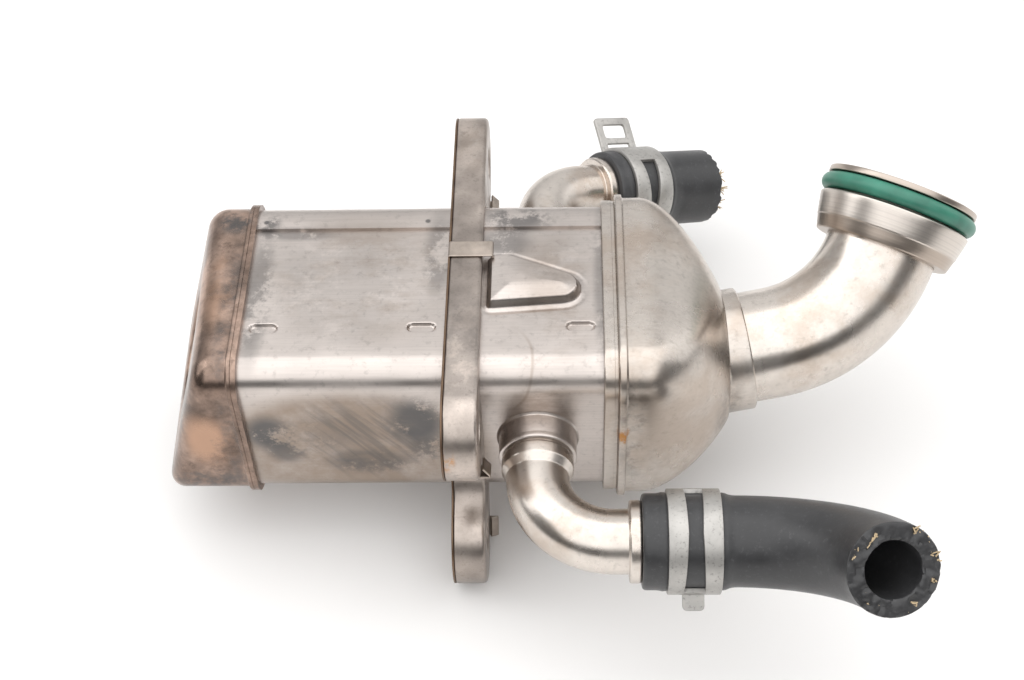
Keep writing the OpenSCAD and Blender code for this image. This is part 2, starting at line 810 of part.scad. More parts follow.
// Pipe end in its collar: spigot, swaged shoulder and taper, along +Z from the side face
swage_len = 3;
taper_len = 1.9;
groove_w = 0.6;
braze_step = 0.5;
module pipe_foot(stub) {
    groove = socket_high + groove_w;
    swage_end = groove + swage_len;
    turned([
        [pipe_bore_r - fuse_step, 0], [pipe_r, 0], [pipe_r, socket_high], [pipe_r + braze_step, socket_high],
        [pipe_r + braze_step, groove], [swage_od / 2, groove], [swage_od / 2, swage_end],
        [pipe_end_r, swage_end + taper_len], [pipe_end_r, stub + fuse_len], [pipe_bore_r - fuse_step, stub + fuse_len]]);
}

// Front pipe in its own frame: +X leaves the side face, +Y points along the gas flow
module front_pipe_frame() {
    translate([front_pipe_x, front_face_y, 0]) rotate([0, 0, -90]) children();
}

module rear_pipe_frame() {
    translate([rear_pipe_x, rear_face_y, 0]) mirror([0, 1, 0]) rotate([0, 0, -90])
        rotate([-rear_bend_down, 0, 0]) children();
}

// Straight end of a pipe past its bend, along +Z: a short run, a stop bead and the length inside the hose
module beaded_run(run) {
    bead_r = stop_bead_d / 2;
    edge = 0.5;
    bead_end = run + stop_bead_w;
    run_len = bead_end + push_gap + pipe_insert;
    bore_r = pipe_bore_r - fuse_step;
    turned([
        [bore_r, -fuse_len], [pipe_end_r, -fuse_len], [pipe_end_r, run], [bead_r - edge, run],
        [bead_r, run + edge], [bead_r, bead_end - edge], [bead_r - edge, bead_end], [pipe_end_r, bead_end],
        [pipe_end_r, run_len], [bore_r, run_len]]);
}

module front_coolant_pipe() {
    color(steel) front_pipe_frame() {
        rotate([0, 90, 0]) pipe_foot(front_stub);
        translate([front_stub, 0, 0]) {
            bent_tube(pipe_bend_r, 90, pipe_r, pipe_bore_r);
            after_bend(pipe_bend_r, 90) beaded_run(front_run);
        }
    }
}

module rear_coolant_pipe() {
    color(steel) rear_pipe_frame() {
        rotate([0, 90, 0]) pipe_foot(rear_stub);
        translate([rear_stub, 0, 0]) {
            bent_tube(pipe_bend_r, rear_bend_a, pipe_r, pipe_bore_r);
            after_bend(pipe_bend_r, rear_bend_a) beaded_run(rear_run);
        }
    }
}

// Hose end pushed over a pipe, along +Z; len is the straight length of the hose
pipe_end_room = 0.5;
module hose_end(len) {
    edge = 0.6;
    inside = pipe_insert + pipe_end_room;
    turned([
        [pipe_end_r + push_gap, 0], [hose_r - edge, 0], [hose_r, edge], [hose_r, pipe_insert - 1],
        [free_r, len], [hose_bore_r, len], [hose_bore_r, inside], [pipe_end_r + push_gap, inside]]);
}

module front_hose_frame() {
    translate([front_hose_x, front_run_y, 0]) children();
}

module front_hose() {
    color(rubber) front_hose_frame() {
        rotate([0, 90, 0]) hose_end(front_hose_len);
        translate([front_hose_len, 0, 0]) rotate([180 - hose_bend_dir, 0, 0])
            bent_tube(hose_bend_r, hose_bend_a, free_r, hose_bore_r);
    }
}

module rear_hose_frame() {
    rear_pipe_frame() translate([rear_stub, 0, 0]) after_bend(pipe_bend_r, rear_bend_a)
        translate([0, 0, rear_run + stop_bead_w + push_gap]) children();
}

module rear_hose() {
    color(rubber) rear_hose_frame() hose_end(rear_hose_len);
}

// Spring band clamp round +Z: the wide ear stands at +X, the tongue's ear at tongue_a, and the
// hourglass slot lies round slot_a
module spring_clamp(tongue_a, slot_a) {
    outer_r = clamp_r + band_t;
    sink = 0.5;
    mid = band_w / 2;
    slot_end = 0.8 * clamp_r;
    slot_waist = -0.27 * clamp_r;
    slot_far_end = 0.96 * clamp_r;
    slot_far = 0.7 * slot_wide;
    frame_w = (ear_w - ear_window_w) / 2;
    window_r = 1;
    window_mid = sink + ear_high - frame_w - ear_window_high / 2;
    difference() {
        tube(band_w, outer_r, clamp_r);
        rotate([0, 0, slot_a]) translate([outer_r + 1, 0, 0]) rotate([0, -90, 0])
            linear_extrude(outer_r + 1) polygon([
                [mid - slot_far / 2, -slot_far_end], [mid + slot_far / 2, -slot_far_end],
                [mid + slot_narrow / 2, slot_waist], [mid + slot_wide / 2, slot_end],
                [mid - slot_wide / 2, slot_end], [mid - slot_narrow / 2, slot_waist]]);
    }
    // Wide ear: an upright frame with a window and a gap at its foot
    translate([outer_r - sink, 0, mid]) rotate([90, 0, 0]) linear_extrude(band_t, center = true) difference() {
        translate([0, -ear_w / 2]) square([ear_high + sink, ear_w]);
        translate([sink + ear_foot_high / 4, -ear_window_w / 2]) square([ear_foot_high, ear_window_w]);
        translate([window_mid, 0]) rounded_rect(ear_window_high, ear_window_w, window_r);
    }
    // Narrow ear at the end of the tongue
    rotate([0, 0, tongue_a]) translate([outer_r - sink, -band_t / 2, mid - tongue_w / 2])
        cube([tongue_high + sink, band_t, tongue_w]);
}

// Turn of each clamp on its hose, and the angle between its two ears
front_ear_a = 10;
rear_ear_a = -108;
ears_apart = 59;
front_slot_a = -150;
rear_slot_a = -122;
module front_hose_clamp() {
    color("lightgray") front_hose_frame() rotate([0, 90, 0]) translate([0, 0, front_clamp_at])
        rotate([0, 0, front_ear_a]) spring_clamp(-ears_apart, front_slot_a);
}

module rear_hose_clamp() {
    color("lightgray") rear_hose_frame() translate([0, 0, rear_clamp_at])
        rotate([0, 0, rear_ear_a]) spring_clamp(ears_apart, rear_slot_a);
}

inlet_cap();
inlet_tube_plate();
front_jacket_sheet();
rear_jacket_sheet();
outlet_tube_plate();
outlet_cone();
gas_elbow();
end_fitting();
sealing_ring();
flange_plate();
flange_gasket();
coolant_baffle();
front_tube_comb();
rear_tube_comb();
front_coolant_pipe();
rear_coolant_pipe();
front_hose();
rear_hose();
front_hose_clamp();
rear_hose_clamp();
for (i = [1:tube_count]) {
    gas_tube(i);
    fin(i);
}
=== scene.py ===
import math
import random

import bpy
from bpy.props import FloatProperty, FloatVectorProperty, PointerProperty
from mathutils import Matrix, Vector, noise
from mathutils.geometry import tessellate_polygon


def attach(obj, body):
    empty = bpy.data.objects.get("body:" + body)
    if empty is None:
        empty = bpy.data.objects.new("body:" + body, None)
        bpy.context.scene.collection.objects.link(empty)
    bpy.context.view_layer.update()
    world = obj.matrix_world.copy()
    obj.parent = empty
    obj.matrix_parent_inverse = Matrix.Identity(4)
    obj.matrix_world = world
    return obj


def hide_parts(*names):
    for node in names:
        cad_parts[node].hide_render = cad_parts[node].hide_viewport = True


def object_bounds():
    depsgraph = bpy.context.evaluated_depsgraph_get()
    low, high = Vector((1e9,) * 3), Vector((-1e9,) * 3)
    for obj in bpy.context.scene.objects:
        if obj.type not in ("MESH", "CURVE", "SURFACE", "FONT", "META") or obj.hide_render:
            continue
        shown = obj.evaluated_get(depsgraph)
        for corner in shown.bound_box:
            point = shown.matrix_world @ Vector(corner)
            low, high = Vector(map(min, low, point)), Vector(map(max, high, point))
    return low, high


bl_info = {
    "name": "Exhaust Gas Cooler",
    "version": (1, 0, 0),
    "blender": (4, 5, 0),
    "location": "View3D > Sidebar > Cooler",
    "description": "Dresses the cooler's solids: drawn stainless box, flange, pipes, cut hoses and clamps",
    "category": "Object",
}

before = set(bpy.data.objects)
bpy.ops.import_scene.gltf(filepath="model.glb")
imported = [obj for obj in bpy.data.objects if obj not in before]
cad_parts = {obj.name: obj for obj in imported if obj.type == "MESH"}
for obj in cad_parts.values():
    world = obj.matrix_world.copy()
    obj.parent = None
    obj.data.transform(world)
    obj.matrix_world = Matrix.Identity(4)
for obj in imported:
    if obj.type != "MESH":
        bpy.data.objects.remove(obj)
CAD_LOW, CAD_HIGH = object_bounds()
MM = 0.001
ROOT = "root"


def length(name, default_mm, words):
    """A size in metres for the sidebar."""
    return FloatProperty(
        name=name, description=words, default=default_mm * MM, subtype="DISTANCE", unit="LENGTH"
    )


def colour(name, default, words):
    """A colour for the sidebar."""
    return FloatVectorProperty(
        name=name, description=words, default=default, size=3, min=0.0, max=1.0, subtype="COLOR"
    )


class CoolerSizes(bpy.types.PropertyGroup):
    """Sizes of the dressed pieces, the same as in the part's source"""

    jacket_width: length("Jacket width", 58.0, "Box from front to back")
    jacket_height: length("Jacket height", 45.6, "Box from bottom to top")
    jacket_corner: length("Jacket corner", 6.8, "Outside corner radius of the box")
    sheet: length("Sheet", 0.8, "Thickness of the box sheets")
    flange_thick: length("Flange thickness", 7.8, "Thickness of the flange plate")
    lobe_radius: length("Lobe radius", 12.0, "Radius of the bolt lobes")
    bolt_hole: length("Bolt hole", 8.5, "Diameter of the bolt holes")
    gas_pipe: length("Gas pipe", 27.4, "Outside diameter of the gas elbow")
    coolant_pipe: length("Coolant pipe", 14.6, "Outside diameter of the coolant pipes")
    hose: length("Hose", 21.8, "Outside diameter of the hoses on their pipes")
    hose_free: length("Free hose", 20.6, "Outside diameter of the hoses past their pipes")
    hose_bore: length("Hose bore", 12.6, "Bore of the hoses past their pipes")
    band_width: length("Band width", 12.0, "Width of the clamp bands")
    band_thick: length("Band thickness", 1.0, "Thickness of the clamp bands")


class CoolerColours(bpy.types.PropertyGroup):
    """Colours of the finishes"""

    stainless: colour("Stainless", (0.595, 0.54, 0.505), "Satin stainless sheet")
    bright: colour("Bright stainless", (0.68, 0.622, 0.568), "Drawn and bent stainless")
    smudge: colour("Smudge", (0.115, 0.112, 0.112), "Handling marks and soot on the box")
    stain: colour("Stain", (0.29, 0.225, 0.175), "Brown water stains")
    tint_brown: colour("Tint brown", (0.285, 0.205, 0.165), "Heat tint on the inlet cap")
    tint_copper: colour("Tint copper", (0.47, 0.295, 0.205), "Lighter heat tint")
    flange: colour("Flange", (0.40, 0.348, 0.312), "Flange plate")
    rust: colour("Rust", (0.50, 0.22, 0.05), "Rust specks")
    gasket: colour("Gasket", (0.17, 0.115, 0.08), "Tinted gasket sheet")
    tab: colour("Tab", (0.40, 0.345, 0.30), "Clip tabs of the gasket")
    zinc: colour("Zinc", (0.459, 0.444, 0.422), "Coated clamp bands")
    rubber: colour("Rubber", (0.0351, 0.0351, 0.0367), "Hose rubber")
    yarn: colour("Yarn", (0.62, 0.48, 0.30), "Reinforcing yarn in the hoses")
    ring: colour("Ring", (0.045, 0.205, 0.142), "Sealing ring rubber")
    floor: colour("Floor", (0.90, 0.89, 0.88), "Table top")


def sizes():
    """The sizes, in millimetres."""
    group = bpy.context.scene.cooler_sizes
    return {name: getattr(group, name) / MM for name in group.__annotations__}


def colours():
    """The colours, each with full alpha."""
    group = bpy.context.scene.cooler_colours
    return {name: (*getattr(group, name), 1.0) for name in group.__annotations__}


def darker(value, share):
    """A colour times a share."""
    return (value[0] * share, value[1] * share, value[2] * share, 1.0)


def wire(tree, value, socket):
    """Links a socket, or sets a plain value."""
    if isinstance(value, bpy.types.NodeSocket):
        tree.links.new(value, socket)
    else:
        socket.default_value = value


def add_node(tree, kind, wires, **choices):
    """Adds a shader node, makes its choices, and links or sets its inputs."""
    node = tree.nodes.new("ShaderNode" + kind)
    for name, value in choices.items():
        setattr(node, name, value)
    for socket, value in wires.items():
        wire(tree, value, node.inputs[socket])
    return node


def add_ramp(tree, factor, stops):
    """Colours, or greys, along a factor; stops are (place, value) pairs."""
    node = add_node(tree, "ValToRGB", {"Fac": factor})
    elements = node.color_ramp.elements
    while len(elements) < len(stops):
        elements.new(0.5)
    for element, (at, value) in zip(elements, stops):
        element.position = at
        element.color = value if isinstance(value, tuple) else (value, value, value, 1.0)
    return node.outputs["Color"]


class Paint:
    """Builds one procedural material on a Principled shader."""

    def __init__(self, name, metallic, roughness=0.5):
        self.material = bpy.data.materials.new(name)
        self.material.use_nodes = True
        self.tree = self.material.node_tree
        self.shader = self.tree.nodes["Principled BSDF"]
        self.set_input("Roughness", roughness)
        self.set_input("Metallic", metallic)
        self.place = add_node(self.tree, "TexCoord", {}).outputs["Object"]

    def set_input(self, name, value):
        """Links or sets one of the shader's inputs."""
        wire(self.tree, value, self.shader.inputs[name])

    def noise_at(self, place, per_metre, detail, rough):
        """Noise of a given fineness at a mapped place."""
        wires = {"Vector": place.outputs["Vector"], "Scale": per_metre, "Detail": detail, "Roughness": rough}
        return add_node(self.tree, "TexNoise", wires).outputs["Fac"]

    def grain(self, per_metre, detail=5.0, rough=0.55, stretch=(1.0, 1.0, 1.0), shift=(0.0, 0.0, 0.0)):
        """Noise of a given fineness, stretched and shifted."""
        place = add_node(self.tree, "Mapping", {"Vector": self.place, "Scale": stretch, "Location": shift})
        return self.noise_at(place, per_metre, detail, rough)

    def strokes(self, per_metre, turn, drawn_out):
        """Noise drawn out along a turned X axis, as wiping leaves it."""
        wires = {"Vector": self.place, "Rotation": turn, "Scale": (drawn_out, 1.0, 1.0)}
        place = add_node(self.tree, "Mapping", wires, vector_type="TEXTURE")
        return self.noise_at(place, per_metre, 5.0, 0.5)

    def ramp(self, factor, stops):
        """Colours along a factor."""
        return add_ramp(self.tree, factor, stops)

    def tones(self, factor, tone, stops):
        """Shares of one colour along a factor."""
        return self.ramp(factor, [(at, darker(tone, share)) for at, share in stops])

    def blend(self, factor, first, second):
        """Mixes two colours."""
        wires = {"Factor": factor, "A": first, "B": second}
        return add_node(self.tree, "Mix", wires, data_type="RGBA").outputs["Result"]

    def maths(self, operation, first, second):
        """Joins two numbers."""
        return add_node(self.tree, "Math", {0: first, 1: second}, operation=operation).outputs["Value"]

    def times(self, first, second):
        """Two numbers multiplied."""
        return self.maths("MULTIPLY", first, second)

    def level(self, factor, low, high, to_low=0.0, to_high=1.0):
        """Maps a factor softly from one span to another."""
        wires = {"Value": factor, "From Min": low, "From Max": high, "To Min": to_low, "To Max": to_high}
        return add_node(self.tree, "MapRange", wires, interpolation_type="SMOOTHSTEP").outputs["Result"]

    def patch(self, centre_mm, reach_mm, edge):
        """One inside an oval round a point, fading from a share of its reach to nought at its edge."""
        wires = {0: self.place, 1: Vector(centre_mm) * MM}
        near = add_node(self.tree, "VectorMath", wires, operation="SUBTRACT")
        wires = {0: near.outputs["Vector"], 1: Vector(reach_mm) * MM}
        share = add_node(self.tree, "VectorMath", wires, operation="DIVIDE")
        far = add_node(self.tree, "VectorMath", {0: share.outputs["Vector"]}, operation="LENGTH")
        return self.level(far.outputs["Value"], edge, 1.0, 1.0, 0.0)

    def marks(self, base, spots, tint, rows):
        """Covers part of a colour with ragged marks; rows give each oval's centre, reach and strength."""
        for centre_mm, reach_mm, strength in rows:
            cover = self.times(spots, self.patch(centre_mm, reach_mm, 0.35))
            base = self.blend(self.times(cover, strength), base, tint)
        return base

    def relief(self, height, strength, depth_mm):
        """Adds bump to the shader, over any bump it already has."""
        wires = {"Height": height, "Strength": strength, "Distance": depth_mm * MM}
        held = self.shader.inputs["Normal"]
        if held.is_linked:
            wires["Normal"] = held.links[0].from_socket
        self.set_input("Normal", add_node(self.tree, "Bump", wires).outputs["Normal"])


FINISHES = {}


def finish_of(name, maker):
    """The material of that name, made on first use."""
    if name not in FINISHES:
        FINISHES[name] = maker(name, colours()).material
    return FINISHES[name]


def satin_sheet(paint, tone, rough, brush=(2.0, 60.0, 60.0)):
    """Satin stainless with a fine brush and a fine grain; returns its colour."""
    lines = paint.grain(30.0, 6.0, 0.65, brush)
    base = paint.tones(paint.grain(38.0, 4.0), tone, [(0.3, 0.88), (0.7, 1.06)])
    streaked = paint.blend(paint.level(lines, 0.35, 0.75, 0.0, 0.4), base, darker(tone, 0.72))
    pits = paint.level(paint.grain(520.0, 6.0, 0.7), 0.52, 0.7, 0.0, 0.4)
    paint.set_input("Roughness", paint.level(paint.grain(60.0, 5.0), 0.25, 0.75, rough - 0.05, rough + 0.08))
    paint.relief(lines, 0.12, 0.05)
    paint.relief(paint.grain(700.0, 5.0, 0.6), 0.1, 0.04)
    return paint.blend(pits, streaked, darker(tone, 0.5))


def jacket_finish(name, tints):
    """Box sheets: satin stainless with a dull film in front, handling smudges and stains."""
    paint = Paint(name, 1.0)
    base = satin_sheet(paint, tints["stainless"], 0.33)
    film = paint.patch((-24.0, -31.0, -3.0), (40.0, 8.0, 24.0), 0.7)
    cloud = paint.grain(48.0, 8.0, 0.7, shift=(0.1, 0.7, 0.4))
    base = paint.blend(paint.times(film, paint.level(cloud, 0.3, 0.62, 0.35, 0.85)), base, tints["stain"])
    wiped = paint.level(paint.grain(60.0, 8.0, 0.72, (0.5, 1.0, 1.3), (0.3, 0.1, 0.7)), 0.42, 0.6)
    ragged = paint.level(paint.grain(95.0, 8.0, 0.75, shift=(0.6, 0.3, 0.1)), 0.4, 0.51)
    smudges = (
        ((-43.5, -29.0, 2.0), (8.0, 5.0, 9.0), 0.95),
        ((-40.0, -29.0, -5.0), (6.5, 5.0, 6.0), 0.75),
        ((-8.0, -29.0, 6.0), (9.5, 5.0, 12.0), 0.95),
        ((-6.0, -29.0, -4.0), (6.0, 5.0, 7.0), 0.75),
        ((-20.0, -29.0, -9.0), (14.0, 5.0, 6.5), 0.85),
        ((-30.0, -29.0, 2.0), (12.0, 5.0, 9.0), 0.35),
        ((13.0, 13.0, 22.8), (9.0, 7.0, 4.0), 0.6),
        ((16.0, 21.0, 23.6), (11.0, 6.0, 5.0), 0.75),
        ((-46.0, 20.0, 23.6), (4.5, 5.0, 4.0), 0.75),
        ((-46.0, -5.0, 22.8), (4.5, 28.0, 4.0), 0.55),
        ((-38.0, 16.6, 22.8), (13.0, 2.6, 4.0), 0.5),
        ((-3.0, 10.0, 22.8), (5.0, 18.0, 4.0), 0.5),
        ((36.5, 0.0, 22.0), (3.0, 34.0, 12.0), 0.45),
        ((-26.0, 0.0, 23.0), (26.0, 26.0, 5.0), 0.16),
        ((24.0, 2.0, 23.0), (15.0, 24.0, 5.0), 0.16),
    )
    stains = (
        ((-24.0, -29.0, -2.0), (24.0, 8.0, 18.0), 0.5),
        ((22.0, -26.0, 12.0), (12.0, 8.0, 12.0), 0.5),
        ((-22.0, 2.0, 23.0), (30.0, 26.0, 5.0), 0.45),
        ((24.0, -4.0, 23.0), (15.0, 26.0, 5.0), 0.45),
    )
    base = paint.marks(base, ragged, tints["smudge"], smudges)
    base = paint.marks(base, wiped, tints["stain"], stains)
    # Dried edge of a water drop, right of the flange
    drop = Vector((8.5, -23.0, 19.0))
    wet, dry = [paint.patch(drop, (reach, reach, reach), 0.96) for reach in (12.6, 12.0)]
    right = paint.patch((22.0, -26.0, 18.0), (13.0, 16.0, 16.0), 0.4)
    rim = paint.times(paint.maths("SUBTRACT", wet, dry), right)
    base = paint.blend(paint.times(rim, 0.4), base, tints["stain"])
    slanted = paint.level(paint.strokes(420.0, (0.0, 0.93, 0.0), 14.0), 0.46, 0.62)
    base = paint.marks(base, slanted, tints["smudge"], [((-22.0, -29.0, 0.0), (24.0, 5.0, 20.0), 0.5)])
    # Two small weld spots on the lap
    for x in (-46.3, -6.2):
        spot = paint.patch((x, 20.2, 23.6), (0.9, 0.9, 2.0), 0.4)
        base = paint.blend(paint.times(spot, 0.8), base, tints["smudge"])
    paint.set_input("Base Color", base)
    return paint


def cap_finish(name, tints):
    """Inlet cap: stainless gone brown and copper with heat."""
    paint = Paint(name, 1.0)
    brown = tints["tint_brown"]
    base = paint.tones(paint.grain(46.0, 7.0, 0.65), brown, [(0.38, 0.45), (0.5, 1.0), (0.62, 1.8)])
    pits = paint.level(paint.grain(420.0, 7.0, 0.72), 0.5, 0.68, 0.0, 0.55)
    base = paint.blend(pits, base, darker(brown, 0.4))
    warm = paint.level(paint.grain(70.0, 6.0, 0.6, shift=(0.2, 0.5, 0.9)), 0.38, 0.5, 0.1, 1.0)
    copper = (
        ((-58.5, -29.0, 0.0), (8.0, 9.0, 12.0), 0.95),
        ((-56.0, -2.0, 23.4), (5.0, 16.0, 6.0), 0.6),
    )
    soot = (
        ((-54.0, 21.0, 23.4), (7.0, 6.0, 6.0), 0.9),
        ((-64.5, -20.0, 8.0), (4.5, 14.0, 24.0), 0.75),
        ((-60.0, -28.0, -16.0), (14.0, 8.0, 7.0), 0.85),
        ((-52.0, -10.0, 23.0), (4.0, 30.0, 6.0), 0.6),
        ((-52.5, -29.0, 0.0), (3.0, 8.0, 24.0), 0.55),
    )
    base = paint.marks(base, warm, tints["tint_copper"], copper)
    fleck = paint.level(paint.grain(110.0, 8.0, 0.75), 0.42, 0.6)
    paint.set_input("Base Color", paint.marks(base, fleck, tints["smudge"], soot))
    paint.set_input("Roughness", paint.level(paint.grain(90.0, 6.0), 0.3, 0.7, 0.22, 0.38))
    paint.relief(paint.grain(260.0, 6.0, 0.6), 0.14, 0.08)
    return paint


def drawn_finish(name, tints):
    """Cone and outlet plate: drawn stainless, dull and specked."""
    paint = Paint(name, 1.0)
    base = satin_sheet(paint, darker(tints["bright"], 0.86), 0.28, (14.0, 40.0, 40.0))
    dull = paint.level(paint.grain(34.0, 7.0, 0.65, shift=(0.2, 0.8, 0.3)), 0.44, 0.66, 0.0, 0.55)
    base = paint.blend(dull, base, darker(tints["stain"], 1.35))
    fleck = paint.level(paint.grain(150.0, 8.0, 0.75), 0.42, 0.6)
    soot = (
        ((43.0, -30.0, 6.0), (5.0, 8.0, 26.0), 0.5),
        ((66.0, -12.0, -6.0), (6.0, 14.0, 16.0), 0.5),
    )
    base = paint.marks(base, fleck, tints["smudge"], soot)
    base = paint.marks(base, fleck, tints["rust"], [((41.0, -32.0, 4.0), (2.2, 3.0, 5.0), 0.9)])
    paint.set_input("Base Color", base)
    return paint


def pipe_finish(name, tints):
    """Bent pipes: satin stainless."""
    paint = Paint(name, 1.0)
    base = satin_sheet(paint, tints["bright"], 0.26, (10.0, 10.0, 10.0))
    dull = paint.level(paint.grain(55.0, 7.0, 0.68, shift=(0.6, 0.2, 0.3)), 0.46, 0.66, 0.0, 0.5)
    paint.set_input("Base Color", paint.blend(dull, base, darker(tints["stain"], 1.5)))
    return paint


def turned_finish(name, tints):
    """End fitting: turned stainless with rings of fine lines, and a darker foot and lip."""
    paint = Paint(name, 1.0, 0.3)
    fitting = fitting_route()
    along = add_node(paint.tree, "VectorMath", {0: paint.place, 1: fitting.along}, operation="DOT_PRODUCT")
    far = along.outputs["Value"]
    rings = paint.tree.nodes.new("ShaderNodeTexNoise")
    rings.noise_dimensions = "1D"
    for socket, value in (("W", far), ("Scale", 2600.0), ("Detail", 3.0)):
        wire(paint.tree, value, rings.inputs[socket])
    lines = rings.outputs["Fac"]
    tone = tints["bright"]
    base = paint.tones(paint.grain(60.0, 5.0), tone, [(0.3, 0.84), (0.7, 1.02)])
    base = paint.blend(paint.level(lines, 0.4, 0.7, 0.0, 0.35), base, darker(tone, 0.66))
    start = (fitting.start * MM).dot(fitting.along)
    foot = paint.level(far, start + 2.6 * MM, start + 3.8 * MM, 0.6, 0.0)
    lip = paint.level(far, start + 14.0 * MM, start + 14.4 * MM, 0.0, 0.5)
    base = paint.blend(foot, base, darker(tints["stain"], 1.2))
    paint.set_input("Base Color", paint.blend(lip, base, darker(tints["stain"], 1.1)))
    paint.relief(lines, 0.25, 0.05)
    return paint


def flange_finish(name, tints):
    """Flange plate: stained brown-grey with rust specks."""
    paint = Paint(name, 1.0)
    tone = tints["flange"]
    base = paint.tones(paint.grain(60.0, 8.0, 0.68), tone, [(0.34, 0.55), (0.52, 1.0), (0.68, 1.6)])
    pits = paint.level(paint.grain(480.0, 7.0, 0.72), 0.5, 0.68, 0.0, 0.55)
    base = paint.blend(pits, base, darker(tone, 0.45))
    fleck = paint.level(paint.grain(140.0, 7.0, 0.72), 0.4, 0.56)
    for tint, row in (
        ("rust", ((0.8, -48.6, 17.0), (2.4, 4.0, 4.5), 1.0)),
        ("smudge", ((4.0, -24.0, 26.0), (8.0, 26.0, 5.0), 0.3)),
        ("stain", ((4.0, 46.0, 18.0), (8.0, 20.0, 14.0), 0.4)),
    ):
        base = paint.marks(base, fleck, tints[tint], [row])
    paint.set_input("Base Color", base)
    paint.set_input("Roughness", paint.level(paint.grain(80.0, 5.0), 0.3, 0.7, 0.28, 0.42))
    paint.relief(paint.grain(300.0, 6.0, 0.6), 0.15, 0.08)
    return paint


def sheet_finish(name, tone):
    """Thin sheet of one tone, clouded."""
    paint = Paint(name, 1.0, 0.4)
    cloud = paint.grain(120.0, 6.0, 0.65)
    paint.set_input("Base Color", paint.tones(cloud, tone, [(0.3, 0.65), (0.5, 1.0), (0.75, 1.4)]))
    paint.relief(paint.grain(400.0, 4.0), 0.1, 0.05)
    return paint


def gasket_finish(name, tints):
    """Gasket: thin sheet gone dark brown."""
    return sheet_finish(name, tints["gasket"])


def tab_finish(name, tints):
    """Clip tabs: the same sheet, less tinted."""
    return sheet_finish(name, tints["tab"])


def inner_finish(name, tints):
    """Pieces inside the box: plain dull stainless."""
    paint = Paint(name, 1.0)
    paint.set_input("Base Color", satin_sheet(paint, darker(tints["stainless"], 0.85), 0.42))
    return paint


def zinc_finish(name, tints):
    """Clamp bands: grey coating with fine dark specks."""
    paint = Paint(name, 0.8, 0.44)
    tone = tints["zinc"]
    base = paint.tones(paint.grain(160.0, 5.0), tone, [(0.3, 0.82), (0.7, 1.1)])
    speck = paint.level(paint.grain(1100.0, 5.0, 0.7), 0.54, 0.66, 0.0, 0.55)
    paint.set_input("Base Color", paint.blend(speck, base, darker(tone, 0.35)))
    paint.relief(paint.grain(1200.0, 4.0), 0.2, 0.05)
    return paint


def rubber_finish(name, tints):
    """Hoses: black rubber with a soft sheen and a greyish bloom."""
    paint = Paint(name, 0.0)
    bloom = paint.grain(75.0, 8.0, 0.72)
    tone = tints["rubber"]
    base = paint.tones(bloom, tone, [(0.3, 0.75), (0.52, 1.0), (0.75, 1.5)])
    dust = paint.level(paint.grain(900.0, 6.0, 0.75), 0.54, 0.72, 0.0, 0.4)
    paint.set_input("Base Color", paint.blend(dust, base, darker(tone, 3.2)))
    paint.set_input("Roughness", paint.level(bloom, 0.3, 0.7, 0.3, 0.46))
    paint.relief(paint.grain(700.0, 6.0, 0.7), 0.35, 0.14)
    return paint


def yarn_finish(name, tints):
    """Reinforcing yarn: tan fibre."""
    paint = Paint(name, 0.0, 0.8)
    fibre = paint.grain(2200.0, 3.0)
    paint.set_input("Base Color", paint.tones(fibre, tints["yarn"], [(0.3, 0.6), (0.7, 1.15)]))
    paint.relief(fibre, 0.4, 0.1)
    return paint


def ring_finish(name, tints):
    """Sealing ring: green rubber with a soft sheen."""
    paint = Paint(name, 0.0, 0.38)
    cloud = paint.grain(120.0, 5.0)
    paint.set_input("Base Color", paint.tones(cloud, tints["ring"], [(0.3, 0.75), (0.7, 1.25)]))
    paint.relief(paint.grain(900.0, 3.0), 0.1, 0.05)
    return paint


def make_piece(name, mesh_parts, material, replaced, sharp=35.0):
    """Joins mesh parts, in millimetres, to one object that stands for CAD nodes."""
    points = []
    faces = []
    for part_points, part_faces in mesh_parts:
        start = len(points)
        points.extend(part_points)
        faces.extend([[index + start for index in face] for face in part_faces])
    mesh = bpy.data.meshes.new(name)
    mesh.from_pydata([Vector(p) * MM for p in points], [], faces)
    mesh.validate()
    mesh.polygons.foreach_set("use_smooth", [True] * len(mesh.polygons))
    mesh.set_sharp_from_angle(angle=math.radians(sharp))
    mesh.materials.append(material)
    piece = bpy.data.objects.new(name, mesh)
    bpy.context.scene.collection.objects.link(piece)
    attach(piece, ROOT)
    if replaced:
        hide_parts(*replaced)
    return piece


def skin(rings, loop=False, ends=True):
    """Mesh through rings with the same number of points."""
    count = len(rings[0])
    points = [p for one in rings for p in one]
    faces = []
    last = len(rings) if loop else len(rings) - 1
    for k in range(last):
        this = k * count
        after = ((k + 1) % len(rings)) * count
        for i in range(count):
            j = (i + 1) % count
            faces.append([this + i, this + j, after + j, after + i])
    if ends and not loop:
        faces.append(list(range(count))[::-1])
        faces.append(list(range(last * count, last * count + count)))
    return points, faces


def fillet(line, radius, steps=4):
    """Rounds the corners of a flat polyline; radius may be a list, one for each point."""
    out = [Vector(line[0])]
    for i in range(1, len(line) - 1):
        corner = Vector(line[i])
        back = Vector(line[i - 1]) - corner
        ahead = Vector(line[i + 1]) - corner
        want = radius[i] if isinstance(radius, (list, tuple)) else radius
        angle = back.angle(ahead, math.pi)
        if want <= 0.0 or angle > math.radians(176.0):
            out.append(corner)
            continue
        cut = min(want / math.tan(angle / 2.0), back.length * 0.48, ahead.length * 0.48)
        first = corner + back.normalized() * cut
        second = corner + ahead.normalized() * cut
        for s in range(steps + 1):
            t = s / steps
            out.append(first * (1.0 - t) ** 2 + corner * 2.0 * t * (1.0 - t) + second * t**2)
    out.append(Vector(line[-1]))
    return out


